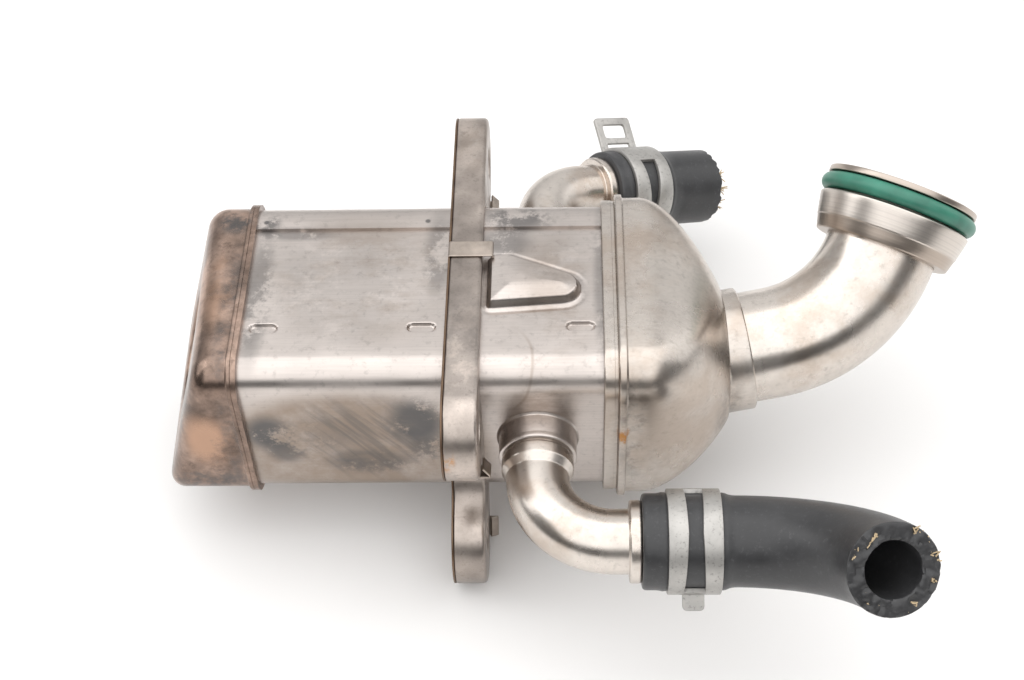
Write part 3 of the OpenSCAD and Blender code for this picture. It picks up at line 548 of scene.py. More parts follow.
def arc(centre, radius, start, end, steps):
    """Points on a flat arc, angles in degrees."""
    out = []
    for s in range(steps + 1):
        a = math.radians(start + (end - start) * s / steps)
        out.append(Vector((centre[0] + radius * math.cos(a), centre[1] + radius * math.sin(a))))
    return out


class Route:
    """A straight length, a bend and another straight length."""

    def __init__(self, start, along, towards, straight, radius=1.0, degrees=0.0, run=0.0):
        self.start = Vector(start)
        self.along = Vector(along).normalized()
        self.towards = Vector(towards).normalized()
        self.straight = straight
        self.radius = radius
        self.angle = math.radians(degrees)
        self.run = run

    def bend_end(self):
        """Distance at which the bend ends."""
        return self.straight + self.radius * self.angle

    def total(self):
        """Whole length."""
        return self.bend_end() + self.run

    def at(self, distance):
        """Point, direction and the two side directions there."""
        turn = min(max((distance - self.straight) / self.radius, 0.0), self.angle)
        direction = self.along * math.cos(turn) + self.towards * math.sin(turn)
        side = self.along.cross(self.towards)
        inward = self.towards * math.cos(turn) - self.along * math.sin(turn)
        point = self.start + self.along * min(distance, self.straight)
        if distance > self.straight:
            point = point + self.along * self.radius * math.sin(turn)
            point = point + self.towards * self.radius * (1.0 - math.cos(turn))
        if distance > self.bend_end():
            point = point + direction * (distance - self.bend_end())
        return point, direction, inward, side

    def off(self, distance, angle, radius):
        """Point beside the route, at an angle round it."""
        point, _, inward, side = self.at(distance)
        return point + (inward * math.cos(angle) + side * math.sin(angle)) * radius

    def swept(self, profile, sides=72, step=1.2):
        """Closed solid from (distance, radius) points that go out along the outside and back inside."""
        fine = []
        for here, there in zip(profile, profile[1:] + profile[:1]):
            parts = max(1, int(abs(there[0] - here[0]) / step))
            for i in range(parts):
                t = i / parts
                fine.append((here[0] + (there[0] - here[0]) * t, here[1] + (there[1] - here[1]) * t))
        angles = [math.tau * i / sides for i in range(sides)]
        return skin([[self.off(d, a, r) for a in angles] for d, r in fine], loop=True)


def oblong(x, width, high, radius, lean=0.0, up=0.0, turn=0.0, steps=10, flats=8):
    """Rounded rectangle across the axis, with points along its straight sides too."""
    corners = []
    for quarter, (sy, sz) in enumerate(((1.0, 1.0), (-1.0, 1.0), (-1.0, -1.0), (1.0, -1.0))):
        centre = (sy * (width / 2.0 - radius), sz * (high / 2.0 - radius))
        corners.append(arc(centre, radius, 90.0 * quarter, 90.0 * quarter + 90.0, steps))
    out = []
    for corner, after in zip(corners, corners[1:] + corners[:1]):
        out.extend(corner)
        out.extend(corner[-1].lerp(after[0], s / flats) for s in range(1, flats))
    return [Vector((x + lean * p[1] - turn * p[0], p[0], p[1] + up)) for p in out]


def outside(s, out):
    """Width, height and corner of the outline that stands outside the box by one amount."""
    return s["jacket_width"] + 2.0 * out, s["jacket_height"] + 2.0 * out, s["jacket_corner"] + out


def rim_rings(s, profile):
    """Rings from a profile of (x, amount outside the box) points."""
    return [oblong(x, *outside(s, out)) for x, out in profile]


# Places and tilts that pieces share, in millimetres
SHEET_FROM_X = -48.5
SHEET_TO_X = 38.6
HOT_PLATE_X = -49.7
CAP_END_X = -66.6
CAP_LEAN = 0.3
CAP_TURN = 0.04
COLD_PLATE_X = 39.8
CONE_X = 41.7
DRAW_X = 46.2
DRAW_LEN = 20.4
NECK_DROP = 3.4
NECK_FOOT = Vector((DRAW_X + DRAW_LEN, 0.0, -NECK_DROP))
BEND_WAY = Vector((0.0, math.cos(math.radians(41.6)), math.sin(math.radians(41.6))))
AXIS = Vector((1.0, 0.0, 0.0))
NECK_TILT = math.radians(10.0)
CONE_TILT = math.radians(3.5)
NECK_ALONG = AXIS * math.cos(NECK_TILT) + BEND_WAY * math.sin(NECK_TILT)
NECK_INWARD = BEND_WAY * math.cos(NECK_TILT) - AXIS * math.sin(NECK_TILT)
DRAWN_SHEET = 1.2


def make_cap(s):
    """Inlet cap with its rim, drawn edge, slanted end and gas inlet."""
    edge = 4.4
    body_out = 0.6
    rim_out = 1.6
    rim_x = HOT_PLATE_X - 1.1

    def wall(shrink):
        rings = []
        width, high, corner = outside(s, body_out - shrink)
        for k in range(9):
            a = math.radians(90.0 * k / 8.0)
            inset = (edge - shrink) * (1.0 - math.cos(a))
            x = CAP_END_X + shrink + (edge - shrink) * (1.0 - math.sin(a))
            outline = (width - 2 * inset, high - 2 * inset, corner - inset)
            rings.append(oblong(x, *outline, CAP_LEAN, 0.0, CAP_TURN))
        return rings

    outer = wall(0.0)
    normal = Vector((1.0, CAP_TURN, -CAP_LEAN)).normalized()
    across = Vector((-CAP_TURN, 1.0, 0.0)).normalized()
    rise = normal.cross(across)

    def bore(radius, depth):
        centre = Vector((CAP_END_X, 0.0, 0.0)) + normal * depth
        angles = [math.atan2(p[2], p[1]) for p in outer[-1]]
        return [centre + (across * math.cos(a) + rise * math.sin(a)) * radius for a in angles]

    rim = [(HOT_PLATE_X, 0.2), (HOT_PLATE_X, rim_out), (rim_x, rim_out)]
    rim += [(rim_x, body_out), (rim_x - 1.3, body_out)]
    rings = rim_rings(s, fillet(rim, [0, 0.35, 0.35, 0.5, 0])) + outer
    lip = ((16.5, 0.0), (15.6, 0.12), (14.9, 0.45), (14.35, 1.0), (14.1, 1.7), (14.0, 2.4))
    neck = ((14.0, 5.3), (15.2, 5.3), (15.2, 1.25))
    rings.extend(bore(radius, depth) for radius, depth in lip + neck)
    rings.extend(wall(DRAWN_SHEET)[::-1])
    rings.append(oblong(HOT_PLATE_X, *outside(s, body_out - DRAWN_SHEET)))
    return skin(rings, loop=True)


def make_cone(s):
    """Outlet cone: rim, short skirt, soft dome with a tilted end, and tilted neck."""
    lean = -math.tan(CONE_TILT) * BEND_WAY[2]
    turn = math.tan(CONE_TILT) * BEND_WAY[1]
    skirt_out = 2.4
    rim_out = 3.3
    across = AXIS.cross(BEND_WAY)
    skew = math.tan(NECK_TILT - CONE_TILT)

    def wall(shrink):
        rings = []
        width, high, corner = outside(s, skirt_out - shrink)
        end = 16.7 - shrink
        wide = 2.0 * end + 0.1
        for k in range(33):
            u = 1.0 - (1.0 - k / 32.0) ** 1.6
            f = max(0.0, 1.0 - u**1.65) ** (1.0 / 1.1)
            outline = (wide + (width - wide) * f, wide + (high - wide) * f, end + (corner - end) * f)
            bent = 1.0 - f
            x = DRAW_X + (DRAW_LEN - shrink) * u
            rings.append(oblong(x, *outline, lean * bent, -NECK_DROP * bent, turn * bent))
        return rings

    rim = fillet(
        [
            (COLD_PLATE_X, 0.6),
            (COLD_PLATE_X, rim_out),
            (CONE_X, rim_out),
            (CONE_X, skirt_out),
            (CONE_X + 2.0, skirt_out),
        ],
        [0, 0.6, 0.7, 0.5, 0],
    )
    dome = wall(0.0)
    rings = rim_rings(s, rim) + dome

    def neck(lift, radius, flush):
        out = []
        for p in dome[-1]:
            spoke = p - NECK_FOOT
            a = math.atan2(spoke.dot(across), spoke.dot(BEND_WAY))
            along = lift + flush * skew * radius * math.cos(a)
            radial = NECK_INWARD * math.cos(a) + across * math.sin(a)
            out.append(NECK_FOOT + NECK_ALONG * along + radial * radius)
        return out

    # Foot of the neck, flush with the dome's tilted end; its free end; its bore
    for lift, radius, flush in (
        (0.02, 16.1, 1.0),
        (0.12, 15.75, 1.0),
        (0.4, 15.42, 1.0),
        (0.9, 15.3, 1.0),
        (4.9, 15.3, 0.0),
        (5.4, 15.15, 0.0),
        (5.69, 14.75, 0.0),
        (5.69, 14.1, 0.0),
        (4.8, 13.87, 0.0),
        (-1.2, 13.87, 0.6),
    ):
        rings.append(neck(lift, radius, flush))
    rings.extend(wall(DRAWN_SHEET)[::-1])
    rings.append(oblong(COLD_PLATE_X, *outside(s, 0.6)))
    return skin(rings, loop=True)


def make_outlet_rim(s):
    """Outlet tube plate's skirt with its rolled bead."""
    fit = 0.86
    line = fillet(
        [(36.4, fit), (36.4, 1.8), (38.9, 1.8), (38.9, 1.7), (COLD_PLATE_X, 1.7), (COLD_PLATE_X, 0.0)],
        [0, 0.45, 0.2, 0.2, 0.2, 0],
    )
    return skin(rim_rings(s, [*line, (SHEET_TO_X, 0.0), (SHEET_TO_X, fit)]), loop=True)


# The pressed bulge's outline is a belt round four circles, to the left round
BULGE = [((10.2, -7.1), 1.5), ((26.6, -2.3), 5.0), ((14.0, 7.0), 1.5), ((10.2, 6.8), 1.5)]
DIMPLE_MID_X = -6.2
DIMPLE_PITCH = 37.3
DIMPLE_Y = -13.8


def belt_turns(belt):
    """Directions in which the straight sides of a belt face."""
    turns = []
    for (c1, r1), (c2, r2) in zip(belt, belt[1:] + belt[:1]):
        dx = c2[0] - c1[0]
        dy = c2[1] - c1[1]
        turns.append(math.atan2(dy, dx) - math.acos((r1 - r2) / math.hypot(dx, dy)))
    return turns


BULGE_TURNS = belt_turns(BULGE)


def inside_bulge(x, y):
    """Distance inside the bulge's outline."""
    best = math.inf
    for i, (centre, radius) in enumerate(BULGE):
        across = x - centre[0]
        up = y - centre[1]
        facing = BULGE_TURNS[i]
        best = min(best, radius - across * math.cos(facing) - up * math.sin(facing))
        wedge = (facing - BULGE_TURNS[i - 1]) % math.tau
        if (math.atan2(up, across) - BULGE_TURNS[i - 1]) % math.tau < wedge:
            best = min(best, radius - math.hypot(across, up))
    return best


def smooth(t):
    """Soft step from nought to one."""
    t = min(max(t, 0.0), 1.0)
    return t * t * (3.0 - 2.0 * t)


def pressed(x, y):
    """Height pressed into the top of the box: a steep bulge with a shallow ditch, and three dimples."""
    inside = inside_bulge(x, y)
    high = 2.25 * smooth(inside / 1.5) + 0.7 * smooth(inside / 6.5)
    high -= 0.12 * smooth(1.0 - abs(inside + 0.9) / 0.9)
    for i in (-1, 0, 1):
        dx = max(abs(x - (DIMPLE_MID_X + DIMPLE_PITCH * i)) - 2.0, 0.0)
        high -= 0.8 * smooth((1.5 - math.hypot(dx, y - DIMPLE_Y)) / 0.6)
    return high


def stations(low, high, coarse, fine, fine_spans):
    """Places along a line, closer together inside some spans."""
    out = [low]
    while out[-1] < high - 1e-6:
        here = out[-1]
        step = fine if any(a <= here < b for a, b in fine_spans) else coarse
        for a, _ in fine_spans:
            if here < a < here + step:
                step = a - here
        out.append(min(here + step, high))
    return out


def make_sheet(s, path, press):
    """Sheet along X from a cross-section path of (point, normal) pairs, with an inside face."""
    rows = []
    for x in stations(SHEET_FROM_X, SHEET_TO_X, 2.5, 0.3, [(-47.5, -39.5), (-10.2, -2.2), (7.4, 35.2)]):
        outer = []
        inner = []
        for (y, z), (ny, nz) in path:
            lift = pressed(x, y) if press and nz > 0.9 else 0.0
            under = lift - s["sheet"]
            outer.append(Vector((x, y + ny * lift, z + nz * lift)))
            inner.append(Vector((x, y + ny * under, z + nz * under)))
        rows.append(outer + inner[::-1])
    return skin(rows)


def jacket_path(s, top_y, grow, back):
    """Cross-section of one box sheet, from the top lap edge round to the bottom lap edge."""
    half_w = s["jacket_width"] / 2.0
    half_h = s["jacket_height"] / 2.0 + grow
    corner = s["jacket_corner"] + grow
    sign = 1.0 if back else -1.0
    flat_end = sign * (half_w - corner)
    fine = [] if back else [(-16.0, -11.6), (-10.2, 9.8)]
    across = stations(*sorted((top_y, flat_end)), 2.0, 0.15, fine)
    across = sorted((y for y in across if y != flat_end), reverse=not back)
    line = [((y, half_h), (0.0, 1.0)) for y in across]

    def bend(from_degrees, centre_z):
        for k in range(13):
            a = math.radians(from_degrees - 90.0 * k / 12.0)
            n = (sign * math.cos(a), math.sin(a))
            line.append(((flat_end + corner * n[0], centre_z + corner * n[1]), n))

    bend(90.0, half_h - corner)
    for k in range(1, 12):
        line.append(((sign * half_w, (half_h - corner) * (1.0 - k / 6.0)), (sign, 0.0)))
    bend(0.0, corner - half_h)
    for k in range(1, 7):
        line.append(((flat_end + (top_y - flat_end) * k / 6.0, -half_h), (0.0, -1.0)))
    return line


def make_collar(s, x, side):
    """Drawn collar round a coolant pipe, straight with a rolled lip."""
    route = Route((x, side * s["jacket_width"] / 2.0, 0.0), (0.0, side, 0.0), AXIS, 10.0)
    bore = s["coolant_pipe"] / 2.0 + 0.08
    high = 6.6
    line = fillet(
        [(-0.3, 10.2), (0.03, 9.8), (0.4, 9.3), (5.0, 9.12), (high, 9.3), (high, bore), (-0.3, bore)],
        [0, 0.2, 0.5, 1.0, 0.6, 0.3, 0],
    )
    return route.swept(line, 72, 0.6)


def flange_line(s):
    """Outline of the flange plate, and its bolt places, as (y, z) points to the left round."""
    lobe = s["lobe_radius"]
    top = s["jacket_height"] / 2.0 + 3.2
    bottom = -26.0
    rear = Vector((50.5, top - lobe))
    upper = Vector((-37.0, top - lobe))
    lower = Vector((-36.5, -30.0))
    waist = Vector((-41.92, -8.0))
    line = [Vector((y, top)) for y in (30.0, 9.0, -14.0, -37.0)]
    line.extend(arc(upper, lobe, 92.0, 257.4, 26))
    line.extend(arc(waist, 10.6, 77.4, 24.0, 8))
    line.extend(arc(waist, 10.6, -24.0, -76.2, 8))
    line.extend(arc(lower, lobe, 103.9, 320.0, 30))
    line.extend(fillet([(-27.2, -37.6), (-17.5, bottom), (-8.0, bottom)], 5.0, 6)[1:])
    line.append(Vector((8.0, bottom)))
    line.extend(arc((22.2, bottom + 10.0), 10.0, -90.0, 0.0, 10))
    line.extend(arc((40.2, -6.0), 8.0, 180.0, 90.0, 8))
    line.extend(arc(rear, lobe, -90.0, 90.0, 26))
    return line, [rear, upper, lower]


def offset_line(line, out):
    """Closed outline moved outwards; it runs to the left round."""
    count = len(line)
    moved = []
    for i in range(count):
        before = (line[i] - line[i - 1]).normalized()
        after = (line[(i + 1) % count] - line[i]).normalized()
        mean = before + after
        normal = Vector((mean[1], -mean[0])).normalized()
        share = max(0.5, normal.dot(Vector((before[1], -before[0]))))
        moved.append(line[i] + normal * out / share)
    return moved


def make_plate(outline, holes, low, high, round_low, round_high, to_space):
    """Plate with rounded edges from a flat outline and holes; to_space maps (u, v, depth) to a point."""
    hole_round = 0.4
    quarter = [math.radians(90.0 * k / 3.0) for k in range(4)]
    points = []
    faces = []
    loops = ([], [])
    lookup = ([], [])
    for line in (outline, *holes):
        most = math.inf if line is outline else hole_round
        b_low = min(round_low, most)
        b_high = min(round_high, most)
        spans = [(low + b_low * (1.0 - math.sin(a)), -b_low * (1.0 - math.cos(a))) for a in quarter[::-1]]
        spans += [(high - b_high * (1.0 - math.sin(a)), -b_high * (1.0 - math.cos(a))) for a in quarter]
        rings = [[to_space(p[0], p[1], depth) for p in offset_line(line, out)] for depth, out in spans]
        start = len(points)
        part_points, part_faces = skin(rings, ends=False)
        points.extend(part_points)
        faces.extend([[i + start for i in face] for face in part_faces])
        top = start + (len(rings) - 1) * len(line)
        for end, first, edge in ((0, start, b_low), (1, top, b_high)):
            loops[end].append([p.to_3d() for p in offset_line(line, -edge)])
            lookup[end].extend(range(first, first + len(line)))
    for loop, index in zip(loops, lookup):
        faces.extend([[index[i] for i in triangle] for triangle in tessellate_polygon(loop)])
    return points, faces


def hole_line(centre, radius, steps=32):
    """Round hole, to the right round, so that outwards is into the hole."""
    return arc(centre, radius, 0.0, -360.0 + 360.0 / steps, steps - 1)


def box_hole(s, gap):
    """Hole for the box, with its lap, to the right round."""
    line = []
    for _, y, z in oblong(0.0, *outside(s, gap), steps=8, flats=4):
        lapped = y > 17.9 - gap and abs(z) > s["jacket_height"] / 2.0 - 4.0
        line.append(Vector((y, z + math.copysign(s["sheet"], z) if lapped else z)))
    return line[::-1]


def along_axis(u, v, depth):
    """Flat outline to space: the outline lies across the axis."""
    return Vector((depth, u, v))


def make_tab(s, place, out_degrees, fold, lean_degrees):
    """Clip tab of the gasket: wraps over the flange's edge and folds in behind it."""
    a = math.radians(out_degrees)
    outward = Vector((0.0, math.cos(a), math.sin(a)))
    across = Vector((0.0, -math.sin(a), math.cos(a)))
    foot = Vector((0.0, place[0], place[1]))
    lean = math.radians(lean_degrees)
    far = s["flange_thick"] + 2.35
    over = 0.28
    fold_end = (far - fold * math.sin(lean), over - fold * math.cos(lean))
    path = fillet([(-0.25, -1.0), (-0.25, over), (far, over), fold_end], [0, 0.35, 0.4, 0], 4)
    half = ((1, 2.25), (1, -2.25), (0.5, -2.45), (-0.5, -2.45))
    section = half + tuple((-thick, -width) for thick, width in half)
    rings = []
    for i, p in enumerate(path):
        ahead = path[min(i + 1, len(path) - 1)] - path[max(i - 1, 0)]
        normal = Vector((-ahead[1], ahead[0])).normalized() * 0.24
        ring = []
        for thick, width in section:
            q = p + normal * thick
            ring.append(foot + AXIS * q[0] + outward * q[1] + across * width)
        rings.append(ring)
    return skin(rings)


# Coolant pipes and hoses: a stop bead, a small gap, then the hose over the rest of the pipe
FRONT_PIPE_X = 20.8
REAR_PIPE_X = 22.1
PIPE_BEND = 17.7
FRONT_BEAD = 3.0
REAR_BEAD = 4.2
BEAD_WIDE = 2.8
HOSE_GAP = 0.03
GRIP = 18.0
FRONT_CLAMP_AT = 5.6
REAR_CLAMP_AT = 4.3


def pipe_line(s, route, bead):
    """Profile of a coolant pipe: spigot, groove, swaged shoulder, taper, stop bead, end and bore."""
    spigot = s["coolant_pipe"] / 2.0
    groove = spigot + 0.45
    shoulder = spigot + 1.2
    tube = spigot + 0.1
    top = spigot + 2.1
    bore = spigot - 1.1
    foot = [(0.0, spigot), (6.6, spigot), (6.6, groove), (7.2, groove)]
    foot += [(7.2, shoulder), (10.2, shoulder), (12.0, tube), (12.7, tube)]
    at = route.bend_end() + bead
    far = at + BEAD_WIDE
    stop = [(at - 1.0, tube), (at, tube), (at, top), (far, top), (far, tube), (far + 0.6, tube)]
    line = fillet(foot, [0, 0.1, 0.1, 0.2, 0.7, 1.0, 0.7, 0]) + fillet(stop, [0, 0.3, 0.7, 0.7, 0.2, 0])
    return line + [(route.total(), tube), (route.total(), bore), (0.0, bore)]


def hose_start(bead):
    """Distance past the bend at which a hose begins."""
    return bead + BEAD_WIDE + HOSE_GAP


def front_pipe_route(s):
    """Way of the front coolant pipe."""
    start = (FRONT_PIPE_X, -s["jacket_width"] / 2.0, 0.0)
    return Route(start, (0.0, -1.0, 0.0), AXIS, 12.1, PIPE_BEND, 90.0, hose_start(FRONT_BEAD) + GRIP)


def rear_pipe_route(s):
    """Way of the rear coolant pipe."""
    start = (REAR_PIPE_X, s["jacket_width"] / 2.0, 0.0)
    a = math.radians(23.5)
    towards = (math.cos(a), 0.0, -math.sin(a))
    return Route(start, (0.0, 1.0, 0.0), towards, 12.7, PIPE_BEND, 65.0, hose_start(REAR_BEAD) + GRIP)


def front_hose_route(s):
    """Way of the front hose: straight over its pipe, then bent towards the front and up."""
    pipe = front_pipe_route(s)
    point = pipe.at(pipe.bend_end() + hose_start(FRONT_BEAD))[0]
    a = math.radians(43.0)
    return Route(point, AXIS, (0.0, -math.cos(a), math.sin(a)), 20.0, 32.0, 81.0)


def rear_hose_route(s):
    """Way of the rear hose."""
    pipe = rear_pipe_route(s)
    point, along, inward, _ = pipe.at(pipe.bend_end() + hose_start(REAR_BEAD))
    return Route(point, along, inward, 34.9)


ELBOW_RUN = 0.63
ELBOW_IN_FITTING = 7.0


def elbow_route():
    """Way of the gas elbow, from 1 mm inside the cone's neck."""
    run = ELBOW_RUN + ELBOW_IN_FITTING
    return Route(NECK_FOOT - NECK_ALONG, NECK_ALONG, NECK_INWARD, 13.13, 36.0, 58.5, run)


def fitting_route():
    """Way of the end fitting, from its foot."""
    elbow = elbow_route()
    point, along, inward, _ = elbow.at(elbow.bend_end() + ELBOW_RUN)
    return Route(point, along, inward, 40.0)


def make_hose(s, route, clamp_at, rough_end, seed):
    """Hose pushed over a pipe and squeezed by its clamp; rough_end is how far the cut is torn."""
    big = s["hose"] / 2.0
    free = s["hose_free"] / 2.0
    bore = s["hose_bore"] / 2.0
    on_pipe = s["coolant_pipe"] / 2.0 + 0.15
    step = GRIP + 0.6
    total = route.total()
    clamp_end = clamp_at + s["band_width"]

    def outer(d):
        radius = big + (free - big) * smooth((d - 16.5) / 5.0)
        for gap in (clamp_at - d, d - clamp_end):
            if gap > 0.0:
                radius += 0.28 * math.exp(-((gap - 0.9) / 0.8) ** 2)
        if clamp_at <= d <= clamp_end:
            radius -= 0.1
        return radius

    line = [(0.0, on_pipe), (0.0, big - 0.8), (0.12, big - 0.35), (0.45, big - 0.08), (0.9, big)]
    for k in range(1, 90):
        d = 0.9 + (total - 1.2) * k / 89.0
        line.append((d, outer(d)))
    line.extend([(total - 0.1, free - 0.12), (total, free - 0.45), (total, free - 1.3)])
    line.extend([(total, 8.9), (total, 8.1), (total, 7.2), (total, bore + 0.4)])
    line.extend([(total - 0.15, bore + 0.1), (total - 0.6, bore)])
    line.extend([(total - 14.0, bore), (step, bore), (step, on_pipe)])
    points, faces = route.swept(line, 96, 1.2)
    tip, direction, _, _ = route.at(total)
    torn = 1.5
    for i, p in enumerate(points):
        depth = -(p - tip).dot(direction)
        around = p - tip + direction * depth
        if depth < torn and around.length < free + 1.0:
            rag = noise.noise(around * 0.55 + Vector((seed, 0.0, 0.0)))
            rag += 0.5 * noise.noise(around * 1.7 + Vector((0.0, seed, 0.0)))
            points[i] = p - direction * max(0.0, 0.25 + rag) * rough_end * (1.0 - max(depth, 0.0) / torn)
    return points, faces


def make_tufts(route, places, seed):
    """Loose yarn round a cut; places are an angle in degrees, a length, a rise and a spread."""
    luck = random.Random(seed)
    tip, direction, inward, side = route.at(route.total())
    corners = (0.0, 1.26, 2.51, 3.77, 5.03)
    parts = []
    for degrees, reach, rise, spread in places:
        for _ in range(6):
            a = math.radians(degrees + luck.uniform(-6.0, 6.0))
            radial = inward * math.cos(a) + side * math.sin(a)
            swing = inward * -math.sin(a) + side * math.cos(a)
            start = tip + radial * luck.uniform(8.0, 9.0) - direction * 0.9
            way = direction * rise + radial * spread * luck.uniform(0.3, 1.2)
            way = way + swing * luck.uniform(-0.7, 0.7)
            end = start + way * reach * luck.uniform(0.6, 1.1)
            mid = (start + end) / 2.0 + swing * reach * luck.uniform(-0.2, 0.2)
            rings = []
            for k in range(7):
                t = k / 6.0
                p = start * (1 - t) ** 2 + mid * 2 * t * (1 - t) + end * t**2
                ahead = ((mid - start) * (1 - t) + (end - mid) * t).normalized()
                one = ahead.orthogonal().normalized()
                two = ahead.cross(one)
                thick = 0.27 * (1.0 - 0.5 * t)
                rings.append([p + (one * math.cos(b) + two * math.sin(b)) * thick for b in corners])
            parts.append(skin(rings))
    return parts


def band_piece(s, route, from_d, start, end, low, high, steps):
    """Stretch of clamp band between two angles; low and high give its edges at an angle."""
    radius = band_radius(s)
    outer = radius + s["band_thick"]
    rings = []
    for k in range(steps + 1):
        a = start + (end - start) * k / steps
        lo = low(a)
        hi = high(a)
        soft = min(0.22, (hi - lo) * 0.3)
        near = [(0.0, radius), (0.0, outer - soft), (soft * 0.3, outer - soft * 0.3), (soft, outer)]
        section = [(lo + w, r) for w, r in near] + [(hi - w, r) for w, r in near[::-1]]
        rings.append([route.off(from_d + w, a, r) for w, r in section])
    return skin(rings)


def band_radius(s):
    """Inside radius of the clamp bands, just clear of the hoses."""
    return s["hose"] / 2.0 + 0.03


def angle_on(route, distance, towards):
    """Angle round a route that points a given way."""
    _, _, inward, side = route.at(distance)
    return math.atan2(Vector(towards).dot(side), Vector(towards).dot(inward))


def make_ear(s, route, distance, way, wide, high, windows):
    """Upright ear of a clamp; windows are its holes, as lower edge, upper edge and corner radius."""
    root = 0.5
    a = angle_on(route, distance, way)
    point, along, inward, side = route.at(distance)
    out = inward * math.cos(a) + side * math.sin(a)
    swing = inward * -math.sin(a) + side * math.cos(a)
    foot = point + out * (band_radius(s) + s["band_thick"] - root)

    def to_space(u, v, depth):
        return foot + along * u + out * v + swing * depth

    w = wide / 2.0
    top = high + root
    line = fillet([(-w, 0.0), (w, 0.0), (w, top), (-w, top), (-w, 0.01)], [0.0, 0.0, 1.2, 1.2, 0.0], 5)[:-1]
    holes = []
    for low, up, soft in windows:
        hole = [(0.0, low), (-3.7, low), (-3.7, up), (3.7, up), (3.7, low), (0.01, low)]
        holes.append(fillet(hole, soft, 4)[:-1])
    half = s["band_thick"] / 2.0
    return make_plate(line, holes, -half, half, 0.22, 0.22, to_space)


def make_clamp(s, route, from_d, ways, sense, slot_span):
    """Spring band clamp; ways point to its ear, slot and tongue, sense is the slot's way round.

    slot_span gives the slot's near end, far end and waist as angles, and its half width there.
    """
    ear_way, slot_way, tongue_way = ways
    near_end, far_end, waist, narrow = slot_span
    width = s["band_width"]
    mid = width / 2.0
    slot = angle_on(route, from_d, slot_way)

    def half(a):
        t = (a - slot) * sense
        if t < waist:
            return narrow + 0.58 * (waist - t) / (far_end + waist)
        return narrow + (2.4 - narrow) * (t - waist) / (near_end - waist)

    first = slot - (far_end if sense > 0 else near_end)
    last = slot + (near_end if sense > 0 else far_end)
    return [
        band_piece(s, route, from_d, last, first + math.tau, lambda a: 0.0, lambda a: width, 60),
        band_piece(s, route, from_d, first, last, lambda a: 0.0, lambda a: mid - half(a), 40),
        band_piece(s, route, from_d, first, last, lambda a: mid + half(a), lambda a: width, 40),
        make_ear(s, route, from_d + mid, ear_way, 11.7, 9.95, ((4.3, 8.3, 1.0), (0.9, 2.5, 0.3))),
        make_ear(s, route, from_d + mid, tongue_way, 5.0, 3.75, ()),
    ]


class COOLER_OT_inside(bpy.types.Operator):
    """Finish the tube plates, tubes, fins, baffle and combs"""

    bl_idname = "cooler.inside"
    bl_label = "Tube Bundle"

    def execute(self, context):
        inner = finish_of("inner_stainless", inner_finish)
        tinted = finish_of("tinted_stainless", cap_finish)
        for name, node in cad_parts.items():
            node.data.materials.clear()
            node.data.materials.append(tinted if name == "inlet_tube_plate" else inner)
        return {"FINISHED"}


class COOLER_OT_jacket(bpy.types.Operator):
    """Make the two box sheets with their pressed forms and collars"""

    bl_idname = "cooler.jacket"
    bl_label = "Jacket Sheets"

    def execute(self, context):
        s = sizes()
        steel = finish_of("jacket_stainless", jacket_finish)
        front = [make_sheet(s, jacket_path(s, 21.0, 0.0, False), True), make_collar(s, FRONT_PIPE_X, -1.0)]
        make_piece("jacket_front", front, steel, ["front_jacket_sheet"])
        lapped = jacket_path(s, 18.0, s["sheet"], True)
        rear = [make_sheet(s, lapped, False), make_collar(s, REAR_PIPE_X, 1.0)]
        make_piece("jacket_rear", rear, steel, ["rear_jacket_sheet"])
        return {"FINISHED"}


class COOLER_OT_ends(bpy.types.Operator):
    """Make the inlet cap, the outlet rim and the outlet cone"""

    bl_idname = "cooler.ends"
    bl_label = "Cap and Cone"

    def execute(self, context):
        s = sizes()
        tinted = finish_of("tinted_stainless", cap_finish)
        drawn = finish_of("drawn_stainless", drawn_finish)
        make_piece("cap", [make_cap(s)], tinted, ["inlet_cap"])
        make_piece("cone", [make_cone(s)], drawn, ["outlet_cone"])
        make_piece("outlet_rim", [make_outlet_rim(s)], drawn, ["outlet_tube_plate"])
        return {"FINISHED"}


class COOLER_OT_gas_pipe(bpy.types.Operator):
    """Make the gas elbow, its end fitting and the sealing ring"""

    bl_idname = "cooler.gas_pipe"
    bl_label = "Gas Elbow"

    def execute(self, context):
        s = sizes()
        pipe = finish_of("pipe_stainless", pipe_finish)
        turned = finish_of("turned_stainless", turned_finish)
        ring = finish_of("ring_rubber", ring_finish)
        elbow = elbow_route()
        outer = s["gas_pipe"] / 2.0 + 0.1
        bore = s["gas_pipe"] / 2.0 - 1.3
        total = elbow.total()
        body = elbow.swept([(0.0, outer), (total, outer), (total, bore), (0.0, bore)], 96, 1.0)
        make_piece("elbow", [body], pipe, ["gas_elbow"])
        socket = s["gas_pipe"] / 2.0 + 0.17
        depth = ELBOW_IN_FITTING + 0.05
        line = [(0.0, socket), (0.0, 16.8), (3.2, 17.7), (3.5, 17.9), (9.3, 19.1), (9.7, 15.62)]
        line += [(14.3, 15.62), (14.3, 18.95), (15.8, 18.95), (15.8, 12.5), (depth, 12.5), (depth, socket)]
        line = fillet(line, [0, 0.5, 0.1, 0.2, 0.5, 0.2, 0.2, 0.25, 0.35, 0.6, 0.2, 0])
        fitting = fitting_route()
        body = fitting.swept(line, 96, 1.0)
        make_piece("fitting", [body], turned, ["end_fitting"])
        cord = []
        for k in range(28):
            a = math.tau * k / 28.0
            cord.append((12.0 + 2.1 * math.sin(a), 17.75 - 2.1 * math.cos(a)))
        make_piece("seal", [fitting.swept(cord, 120, 9.0)], ring, ["sealing_ring"], 80.0)
        return {"FINISHED"}


